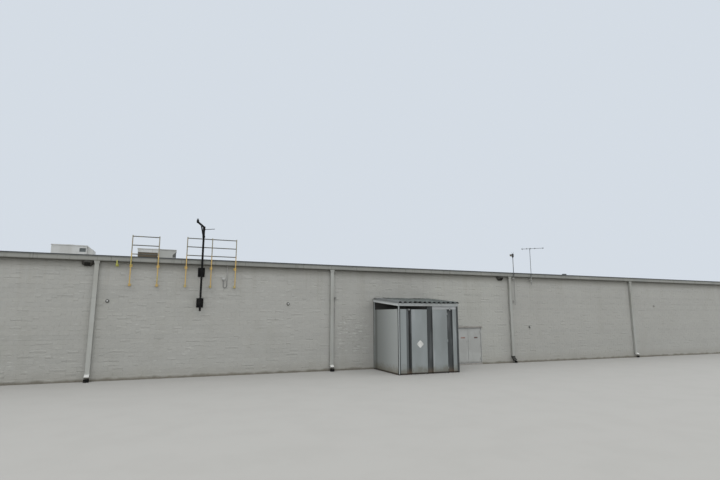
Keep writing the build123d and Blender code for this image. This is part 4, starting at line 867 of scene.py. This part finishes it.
roof_low, roof_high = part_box("shed_roof")
sheet_thickness = 0.003
sheet_lap = 0.0045
crest_height = 0.046
valley_rise = 0.030
roof_crests = int((roof_high.x - roof_low.x) // 0.140)
crest_step = (roof_high.x - roof_low.x) / roof_crests
crest_middle = 0.55
samples_per_crest = 14
sheet_spans = ((0, 2, 1), (2, 4, 0), (6, 3, 0), (9, roof_crests - 9, 0))
valley_at_wall = roof_high.z - valley_rise
valley_at_eave = roof_low.z
roof_fall = (valley_at_wall - valley_at_eave) / (roof_high.y - roof_low.y)


def deck_height(x):
    """Height of the folded sheet over its valleys, rounded at its bends."""
    swing = math.cos(math.tau * ((x - roof_low.x) / crest_step - crest_middle))
    share = min(max(0.5 + 0.95 * (swing + 0.05), 0.0), 1.0)
    return (crest_height - sheet_thickness) * share * share * (3.0 - 2.0 * share)


def deck_sheet(shape, start, end, lift, finish):
    """Adds one deck sheet from the wall to the eave, closed all round."""
    count = max(2, round((end - start) / crest_step * samples_per_crest))
    across = [start + (end - start) * number / count for number in range(count + 1)]
    grid = []
    for under in (False, True):
        for y in (roof_high.y, roof_low.y):
            level = valley_at_wall - roof_fall * (roof_high.y - y) + lift
            grid.append([shape.verts.new((x, y, level + deck_height(x) + (0.0 if under else sheet_thickness)))
                         for x in across])
    faces = []
    over_wall, over_eave, under_wall, under_eave = grid
    round_sheet = (over_wall, over_eave, under_eave, under_wall)
    for first, second in zip(round_sheet, round_sheet[1:] + round_sheet[:1]):
        for number in range(count):
            faces.append(shape.faces.new((first[number], first[number + 1],
                                          second[number + 1], second[number])))
    for end_line in (0, -1):
        faces.append(shape.faces.new([line[end_line] for line in round_sheet]))
    for face in faces:
        face.material_index = finish
        face.smooth = True
    bmesh.ops.recalc_face_normals(shape, faces=faces)


deck = bmesh.new()
for number, (first, crests, finish) in enumerate(sheet_spans):
    start = roof_low.x + first * crest_step
    lap_over = crest_step * 0.9 if first + crests < roof_crests else 0.0
    deck_sheet(deck, start, start + crests * crest_step + lap_over, sheet_lap if number % 2 else 0.0, finish)
mount("shed_roof_sheets", deck, "building", "shed_roofing", roof_finishes, "shed_roof")

screw_rows = (0.07, 0.55, 0.96)
roof_screw_radius = 0.004
heads = bmesh.new()
for number in range(roof_crests):
    for row in screw_rows:
        y = roof_low.y + row * (roof_high.y - roof_low.y)
        x = roof_low.x + (number + crest_middle) * crest_step
        z = valley_at_wall - roof_fall * (roof_high.y - y) + crest_height
        screw(heads, (x, y, z), Vector((0.0, -roof_fall, 1.0)), roof_screw_radius)
mount("shed_roof_screws", heads, "building", "shed_roofing", [roof_finishes[0]])

diamond_at = -0.992
diamond_level = 0.738
diamond_side = 0.142
bare_plate("shed_diamond_plate", "shed_left_leaf", "shed_sheet", (diamond_at, shed_front, diamond_level),
           diamond_side, diamond_side, math.radians(45.0),
           enamel("pale_enamel", (0.56, 0.56, 0.54), (0.44, 0.445, 0.43)))


# Guard rails and their brackets.
# The rails are welded pipe on plates bolted to the wall, painted safety yellow. The yellow has chalked
# on the posts, worn grey on the rails and gone orange with rust about the plates.
post_yellow = Finish("chalked_yellow_posts", (0.53, 0.36, 0.12), 0.6)
post_yellow.lay((0.24, 0.22, 0.16), post_yellow.along("Z", 2.80, 2.98))
post_yellow.patch((0.42, 0.36, 0.10), 0.56, 0.66, 4.0)
post_yellow.patch((0.30, 0.15, 0.05), 0.6, 0.72, 16.0, detail=6.0)
post_yellow.grain(0.0006, 60.0)
rail_yellow = Finish("weathered_rail_paint", (0.095, 0.094, 0.082), 0.7)
rail_yellow.patch((0.22, 0.19, 0.10), 0.58, 0.72, 5.0, detail=5.0)
rail_yellow.patch((0.10, 0.06, 0.035), 0.6, 0.72, 18.0, detail=6.0)
rail_yellow.grain(0.0006, 60.0)
rail_finishes = [post_yellow.done(), rail_yellow.done()]
put_on(rail_finishes[0], "guard_rail_left", "guard_rail_right")

pipe_radius = 0.012
rail_drop = 0.211
post_above_rail = 0.030
rails_per_bay = 3
pipe_dome = ((0.0, 0.6), (0.0018, 0.88), (0.005, 1.0))
weld_reach = 0.09
weld_collar = ((0.0, 0.8), (0.004, 1.12), (0.010, 1.12), (0.014, 0.8))


def pipe(shape, start, end, radius, finish):
    """Adds a round pipe with slightly domed ends between two points."""
    way = Vector(end) - Vector(start)
    near = [(distance, radius * share) for distance, share in pipe_dome]
    far = [(way.length - distance, radius * share) for distance, share in reversed(pipe_dome)]
    lathe(shape, start, way, near + far, 16, finish)


for node, posts in (("guard_rail_left", 2), ("guard_rail_right", 3)):
    low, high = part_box(node)
    rail_line = (low.y + high.y) / 2
    first, last = low.x + pipe_radius, high.x - pipe_radius
    pipes = bmesh.new()
    levels = [high.z - post_above_rail - rail * rail_drop for rail in range(rails_per_bay)]
    for number in range(posts):
        x = first + number * (last - first) / (posts - 1)
        pipe(pipes, (x, rail_line, low.z), (x, rail_line, high.z), pipe_radius, 0)
        for z in levels:
            for side in (-1, 1):
                if first < x + side * weld_reach < last:  # only where the rail goes on
                    lathe(pipes, (x + side * (pipe_radius - 0.004), rail_line, z), (side, 0, 0),
                          [(distance, pipe_radius * share) for distance, share in weld_collar], 16, 0)
    for z in levels:
        pipe(pipes, (first, rail_line, z), (last, rail_line, z), pipe_radius * 0.96, 1)
    mount(node + "_pipes", pipes, "building", "safety_yellow", rail_finishes, node)

low_brackets = 2.225
hoist_left = -6.95
stub_from = -8.0
plate_yellow = Finish("rusting_yellow_plates", (0.68, 0.49, 0.14), 0.65)
low_share = plate_yellow.along("Z", low_brackets + 0.075, low_brackets - 0.075)
plate_yellow.lay((0.52, 0.39, 0.17), low_share)
beyond_hoist = plate_yellow.along("X", hoist_left - 0.05, hoist_left + 0.05)
plate_yellow.lay((0.40, 0.38, 0.19), plate_yellow.product(low_share, beyond_hoist))
plate_yellow.lay((0.42, 0.42, 0.09), plate_yellow.along("X", stub_from, stub_from - 0.05))
plate_yellow.patch((0.22, 0.11, 0.045), 0.6, 0.72, 22.0, detail=6.0)
plate_yellow.grain(0.0008, 60.0)
plate_finish = plate_yellow.done()
put_on(plate_finish, "guard_rail_brackets")


def bolt_plates(name, node, slot, finish, thickness, inset, radius, square=False):
    """Puts a bolt in each corner of a node's wall plates, or of the square at the foot of each."""
    heads = bmesh.new()
    for low, high in solids_of(node):
        top = low.z + (high.x - low.x) if square else high.z
        for x in (low.x + inset, high.x - inset):
            for z in (low.z + inset, top - inset):
                screw(heads, (x, rear_face - thickness, z), outward, radius)
    mount(name, heads, "building", slot, [finish])


bolt_plates("guard_rail_bracket_bolts", "guard_rail_brackets", "safety_yellow", plate_finish,
            thickness=0.008, inset=0.0095, radius=0.0042, square=True)


# Roof hoist.
# The mast is steel pipe that turns in two sleeves welded to wall plates, with a thrust collar, a square
# boom, a knee brace and a sheave head. It is painted black, dusty, with rust at the welds.
black = Finish("hoist_black_paint", (0.005, 0.005, 0.005), 0.75)
black.shader.inputs["Specular IOR Level"].default_value = 0.2
black.patch((0.016, 0.015, 0.014), 0.5, 0.7, 8.0)
black.patch((0.035, 0.018, 0.012), 0.64, 0.74, 26.0, detail=6.0)
black.grain(0.0006, 50.0)
hoist_finish = black.done()
put_on(hoist_finish, "hoist_brackets", "hoist_mast", "hoist_boom")

bolt_plates("hoist_bracket_bolts", "hoist_brackets", "hoist_black", hoist_finish,
            thickness=0.014, inset=0.018, radius=0.008)


# Wall lights, camera pole and antenna.
# The lights are cast wedges with a bronze coat and a dark lens. The camera pole is dark painted tube.
# The antenna is aluminium tube with plastic blocks, dulled by weather, and its clamps are painted.
bronze = Finish("bronze_coat", (0.045, 0.042, 0.036), 0.5, 0.3)
bronze.patch((0.075, 0.07, 0.06), 0.5, 0.7, 12.0)
bronze.grain(0.0003, 120.0)
lens = Finish("dark_lens", (0.010, 0.010, 0.009), 0.35)
lens.shader.inputs["Specular IOR Level"].default_value = 0.2
lens.patch((0.022, 0.021, 0.018), 0.45, 0.6, 30.0, (1.0, 1.0, 0.3))
light_finishes = [bronze.done(), lens.done()]
put_on(light_finishes[0], "rear_wall_lights", "front_wall_lights")

light_foot_depth = 0.026
light_front_height = 0.034
light_end_slope = 0.060
light_end_depth = 0.35
light_end_rise = 0.045
lens_margin = 0.014
lens_proud = 0.003
light_edge = 0.003
cover_screw_inset = 0.012
cover_screw = ((-0.0005, 0.004), (0.0005, 0.004), (0.002, 0.003))
for wall_side, node in ((-1, "rear_wall_lights"), (1, "front_wall_lights")):
    lights = bmesh.new()
    for low, high in solids_of(node):
        depth = high.y - low.y
        wall_line = wall_side * front_face

        def section(x, share, lift):
            """The outline of the housing at x, as deep as its share and lifted at its foot."""
            front = depth * share
            outline = ((0.0, low.z + lift), (light_foot_depth * share, low.z + lift),
                       (front, high.z - light_front_height + lift * 0.3), (front, high.z - light_edge),
                       (front - light_edge, high.z), (0.0, high.z))
            return [Vector((x, wall_line + wall_side * out, z)) for out, z in outline]

        loft(lights, [section(low.x, light_end_depth, light_end_rise),
                      section(low.x + light_end_slope, 1.0, 0.0),
                      section(high.x - light_end_slope, 1.0, 0.0),
                      section(high.x, light_end_depth, light_end_rise)], 0, False)
        slant = Vector((0.0, wall_side * (depth - light_foot_depth), high.z - light_front_height - low.z))
        base = Vector((0.0, wall_line + wall_side * light_foot_depth, low.z))
        proud = Vector((0.0, wall_side * slant.z, -abs(slant.y))).normalized()
        up_slant = slant.normalized()
        rings = []
        for inset, rise in ((0.0, -0.002), (0.0, lens_proud - 0.001), (0.001, lens_proud)):
            left, right = low.x + light_end_slope + inset, high.x - light_end_slope - inset
            lower, upper = lens_margin + inset, slant.length - lens_margin - inset
            rings.append([base + up_slant * reach + proud * rise + Vector((x, 0.0, 0.0))
                          for x, reach in ((left, lower), (right, lower), (right, upper), (left, upper))])
        loft(lights, rings, 1, False)
        screw_reach = light_end_slope + cover_screw_inset
        for x in (low.x + screw_reach, high.x - screw_reach):
            spot = (x, wall_line + wall_side * depth, high.z - light_front_height / 2)
            lathe(lights, spot, (0.0, -wall_side, 0.0), cover_screw, 12)
    mount(node + "_housings", lights, "building", "light_bronze", light_finishes, node)

pole_paint = Finish("dark_pole_paint", (0.05, 0.052, 0.055), 0.5)
pole_paint.patch((0.16, 0.13, 0.06), 0.52, 0.6, 3.0)
pole_paint.lay((0.21, 0.21, 0.20), pole_paint.along("Z", under_gutter + 0.02, under_gutter - 0.02))
pole_paint.grain(0.0005, 40.0)
put_on(pole_paint.done(), "camera_pole")

antenna = Finish("weathered_aluminium", (0.16, 0.165, 0.17), 0.5, 0.5)
antenna.lay((0.33, 0.33, 0.32), antenna.along("Z", under_gutter + 0.02, under_gutter - 0.02))
antenna.mottle((0.55, 0.55, 0.56), 0.42, 0.65, 14.0, detail=5.0)
antenna.grain(0.0002, 120.0)
put_on(antenna.done(), "tv_antenna")

clamp_paint = Finish("painted_clamps", (0.40, 0.40, 0.38), 0.6)
clamp_paint.patch((0.30, 0.295, 0.28), 0.5, 0.66, 30.0, detail=5.0)
clamp_paint.grain(0.0004, 70.0)
put_on(clamp_paint.done(), "pole_clamps")


# Wall caps and conduits.
# Round hooded caps of cast metal cover pipe ends in the wall. A painted conduit loops down from the
# gutter to an outlet box, and another rises from a box beside the second downspout.
def cap_finish(name, colour, stain):
    """Old paint on cast metal, stained where the rain leaves it."""
    finish = Finish(name, colour, 0.55)
    finish.mottle(stain, 0.48, 0.68, 26.0, detail=5.0)
    finish.grain(0.0005, 60.0)
    return finish.done()


cap_finishes = [cap_finish("cap_flange_paint", (0.29, 0.29, 0.275), (0.66, 0.64, 0.60)),
                cap_finish("cap_neck_shade", (0.055, 0.054, 0.05), (0.6, 0.6, 0.6)),
                cap_finish("cap_hood_paint", (0.44, 0.44, 0.43), (0.72, 0.70, 0.66))]
put_on(cap_finishes[0], "wall_caps")
flange_profile = ((0.0, 0.0405), (0.0, 0.042), (0.003, 0.042), (0.0045, 0.0405), (0.0045, 0.0375))
neck_profile = ((0.002, 0.0395), (0.0065, 0.0395), (0.008, 0.036), (0.010, 0.019), (0.017, 0.018))
hood_profile = ((0.014, 0.018), (0.014, 0.021), (0.0155, 0.022), (0.024, 0.0215), (0.031, 0.020),
                (0.037, 0.0165), (0.0415, 0.011), (0.0435, 0.004))
hood_paints = (2, 2, 0, 0)
# The first three caps get the dark neck finish, painted shade under their hoods.
neck_paints = (1, 1, 1, 0)
caps = bmesh.new()
for (low, high), neck_paint, hood_paint in zip(solids_of("wall_caps"), neck_paints, hood_paints):
    foot = ((low.x + high.x) / 2, rear_face, (low.z + high.z) / 2)
    for profile, paint in ((flange_profile, 0), (neck_profile, neck_paint), (hood_profile, hood_paint)):
        lathe(caps, foot, outward, profile, 28, paint)
mount("wall_cap_hoods", caps, "building", "cap_metal", cap_finishes, "wall_caps")

outlet_box_top = 2.32
loop_leg_foot = 2.355
loop_leg_from = -5.67
riser_box_top = 1.88
conduit = Finish("conduit_paint", (0.335, 0.335, 0.32), 0.6)
x, z = conduit.axis("X"), conduit.axis("Z")
on_loop, on_riser = conduit.between(x, -4.0, -5.0), conduit.between(x, -4.0, -3.0)
# The riser is painted lighter below its box, against the shade from the downspout beside it.
for colour, side, share in (
        ((0.17, 0.17, 0.17), on_loop, conduit.past(z, outlet_box_top, -0.02)),
        ((0.19, 0.19, 0.18), on_riser, conduit.between(z, riser_box_top, riser_box_top + 0.01)),
        ((0.42, 0.42, 0.41), conduit.past(x, loop_leg_from, -0.01), conduit.past(z, loop_leg_foot, 0.003)),
        ((0.43, 0.43, 0.415), on_riser, conduit.between(z, riser_box_top, riser_box_top - 0.01))):
    conduit.lay(colour, conduit.product(side, share))
conduit.mottle((0.82, 0.81, 0.80), 0.45, 0.65, 18.0)
conduit.grain(0.0004, 60.0)
put_on(conduit.done(), "wall_conduits")


# Plant on the roof.
# Two packaged air units of pale painted sheet stand on galvanised curbs, with slatted grilles, lids and
# fan rings. A capped vent pipe stands further along.
hood_height = 0.21
fins_per_metre = 55.0


def cabinet_paint(name, grille_x, grille_z, inside, open_end=0.0):
    """Pale cabinet paint with rain marks, dark in the grille, with painted shade under the hood at its open
    end and on the undersides.
    """
    low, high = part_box(name)
    paint = Finish(name + "_paint", (0.47, 0.475, 0.465), 0.5)
    paint.mottle((0.88, 0.87, 0.85), 0.42, 0.64, 2.0, (1.0, 1.0, 0.4))
    paint.mottle((0.76, 0.73, 0.68), 0.58, 0.74, 16.0, (1.0, 1.0, 0.1), detail=6.0)
    x, z = paint.axis("X"), paint.axis("Z")
    left, right = low.x + grille_x[0], low.x + grille_x[1]
    paint.lay(inside, paint.product(paint.band(x, left, right, 0.002),
                                    paint.band(z, low.z + grille_z[0], low.z + grille_z[1], 0.002)))
    if open_end:
        paint.tint((0.71, 0.71, 0.69), paint.between(x, right + 0.02, right + 0.06))
        # Painted shade in the opening under the hood, with lighter fins in it.
        hood_from, hood_foot = high.x - open_end, high.z - hood_height
        under_hood = paint.sum("SUBTRACT", paint.sum("SUBTRACT", x, hood_from),
                               paint.sum("SUBTRACT", z, hood_foot))
        hood = paint.product(paint.between(under_hood, -0.006, 0.006),
                             paint.past(x, hood_from, 0.004), paint.turned("Z", 0.5, 0.2))
        paint.lay((0.055, 0.057, 0.054), hood)
        fins = paint.sum("FRACT", paint.product(paint.sum("ADD", x, paint.axis("Y")), fins_per_metre))
        paint.lay((0.14, 0.142, 0.135), paint.product(hood, paint.between(fins, 0.5, 0.8)))
        paint.relief(paint.product(hood, paint.between(fins, 0.45, 0.9)), 0.004)
    # Painted shade on the undersides.
    paint.tint((0.6, 0.6, 0.6), paint.turned("Z", -0.5, -0.9))
    paint.grain(0.003, 3.0, strength=0.5)
    return paint.done()


zinc = Finish("galvanised_steel", (0.34, 0.35, 0.36), 0.5, 0.8)
zinc.mottle((0.88, 0.88, 0.89), 0.35, 0.65, 45.0, detail=1.0)
zinc.mottle((0.80, 0.79, 0.77), 0.5, 0.7, 5.0, (1.0, 1.0, 0.4), detail=6.0)
zinc.grain(0.0003, 90.0)
put_on(zinc.done(), "rooftop_curbs")

put_on(cabinet_paint("rooftop_unit_left", (0.770, 0.940), (0.262, 0.380), (0.13, 0.145, 0.145)),
       "rooftop_unit_left")
put_on(cabinet_paint("rooftop_unit_right", (0.024, 0.614), (0.056, 0.342), (0.11, 0.085, 0.055), 0.115),
       "rooftop_unit_right")

stack = Finish("roof_vent_steel", (0.10, 0.105, 0.11), 0.5, 0.5)
stack.patch((0.20, 0.19, 0.18), 0.5, 0.7, 10.0, (1.0, 1.0, 0.3))
stack.grain(0.0006, 50.0)
put_on(stack.done(), "roof_vent")


# Ground, sky and light.
# The model stands on a plain pale floor under an even overcast sky. A broad soft lamp from the upper
# left gives the shapes a little form.
floor_reach = 900.0
corners = [(x * floor_reach, y * floor_reach, 0.0) for x, y in ((-1, -1), (1, -1), (1, 1), (-1, 1))]
floor_mesh = bpy.data.meshes.new("ground")
floor_mesh.from_pydata(corners, [], [(0, 1, 2, 3)])
ground = stand("ground", floor_mesh)
paving = Finish("pale_floor", (0.36, 0.352, 0.335), 0.9)
paving.mottle((0.975, 0.975, 0.972), 0.40, 0.66, 1.5, detail=6.0)
floor_mesh.materials.append(paving.done())

sky_light = (0.97, 0.99, 1.0)
sky_strength = 1.27
sky_shown = (0.66, 0.715, 0.78)
sky = bpy.data.worlds.new("overcast_sky")
bpy.context.scene.world = sky
sky.use_nodes = True
sky_nodes, sky_links = sky.node_tree.nodes, sky.node_tree.links
even = sky_nodes["Background"]
even.inputs["Color"].default_value = (*sky_light, 1.0)
even.inputs["Strength"].default_value = sky_strength
shown = sky_nodes.new("ShaderNodeBackground")
shown.inputs["Color"].default_value = (*sky_shown, 1.0)
path = sky_nodes.new("ShaderNodeLightPath")
seen = path.outputs["Is Camera Ray"]
for ray in ("Is Glossy Ray", "Is Transmission Ray"):
    either = sky_nodes.new("ShaderNodeMath")
    either.operation = "MAXIMUM"
    sky_links.new(seen, either.inputs[0])
    sky_links.new(path.outputs[ray], either.inputs[1])
    seen = either.outputs[0]
choice = sky_nodes.new("ShaderNodeMixShader")
for output, number in ((seen, 0), (even.outputs[0], 1), (shown.outputs[0], 2)):
    sky_links.new(output, choice.inputs[number])
sky_links.new(choice.outputs[0], sky_nodes["World Output"].inputs["Surface"])

lamp = bpy.data.lights.new("soft_lamp", "SUN")
lamp.energy = 0.6
lamp.angle = math.radians(50.0)
soft_lamp = stand("soft_lamp", lamp)
soft_lamp.rotation_euler = (math.radians(38.0), 0.0, math.radians(-28.0))
bpy.context.scene.view_settings.view_transform = "Standard"
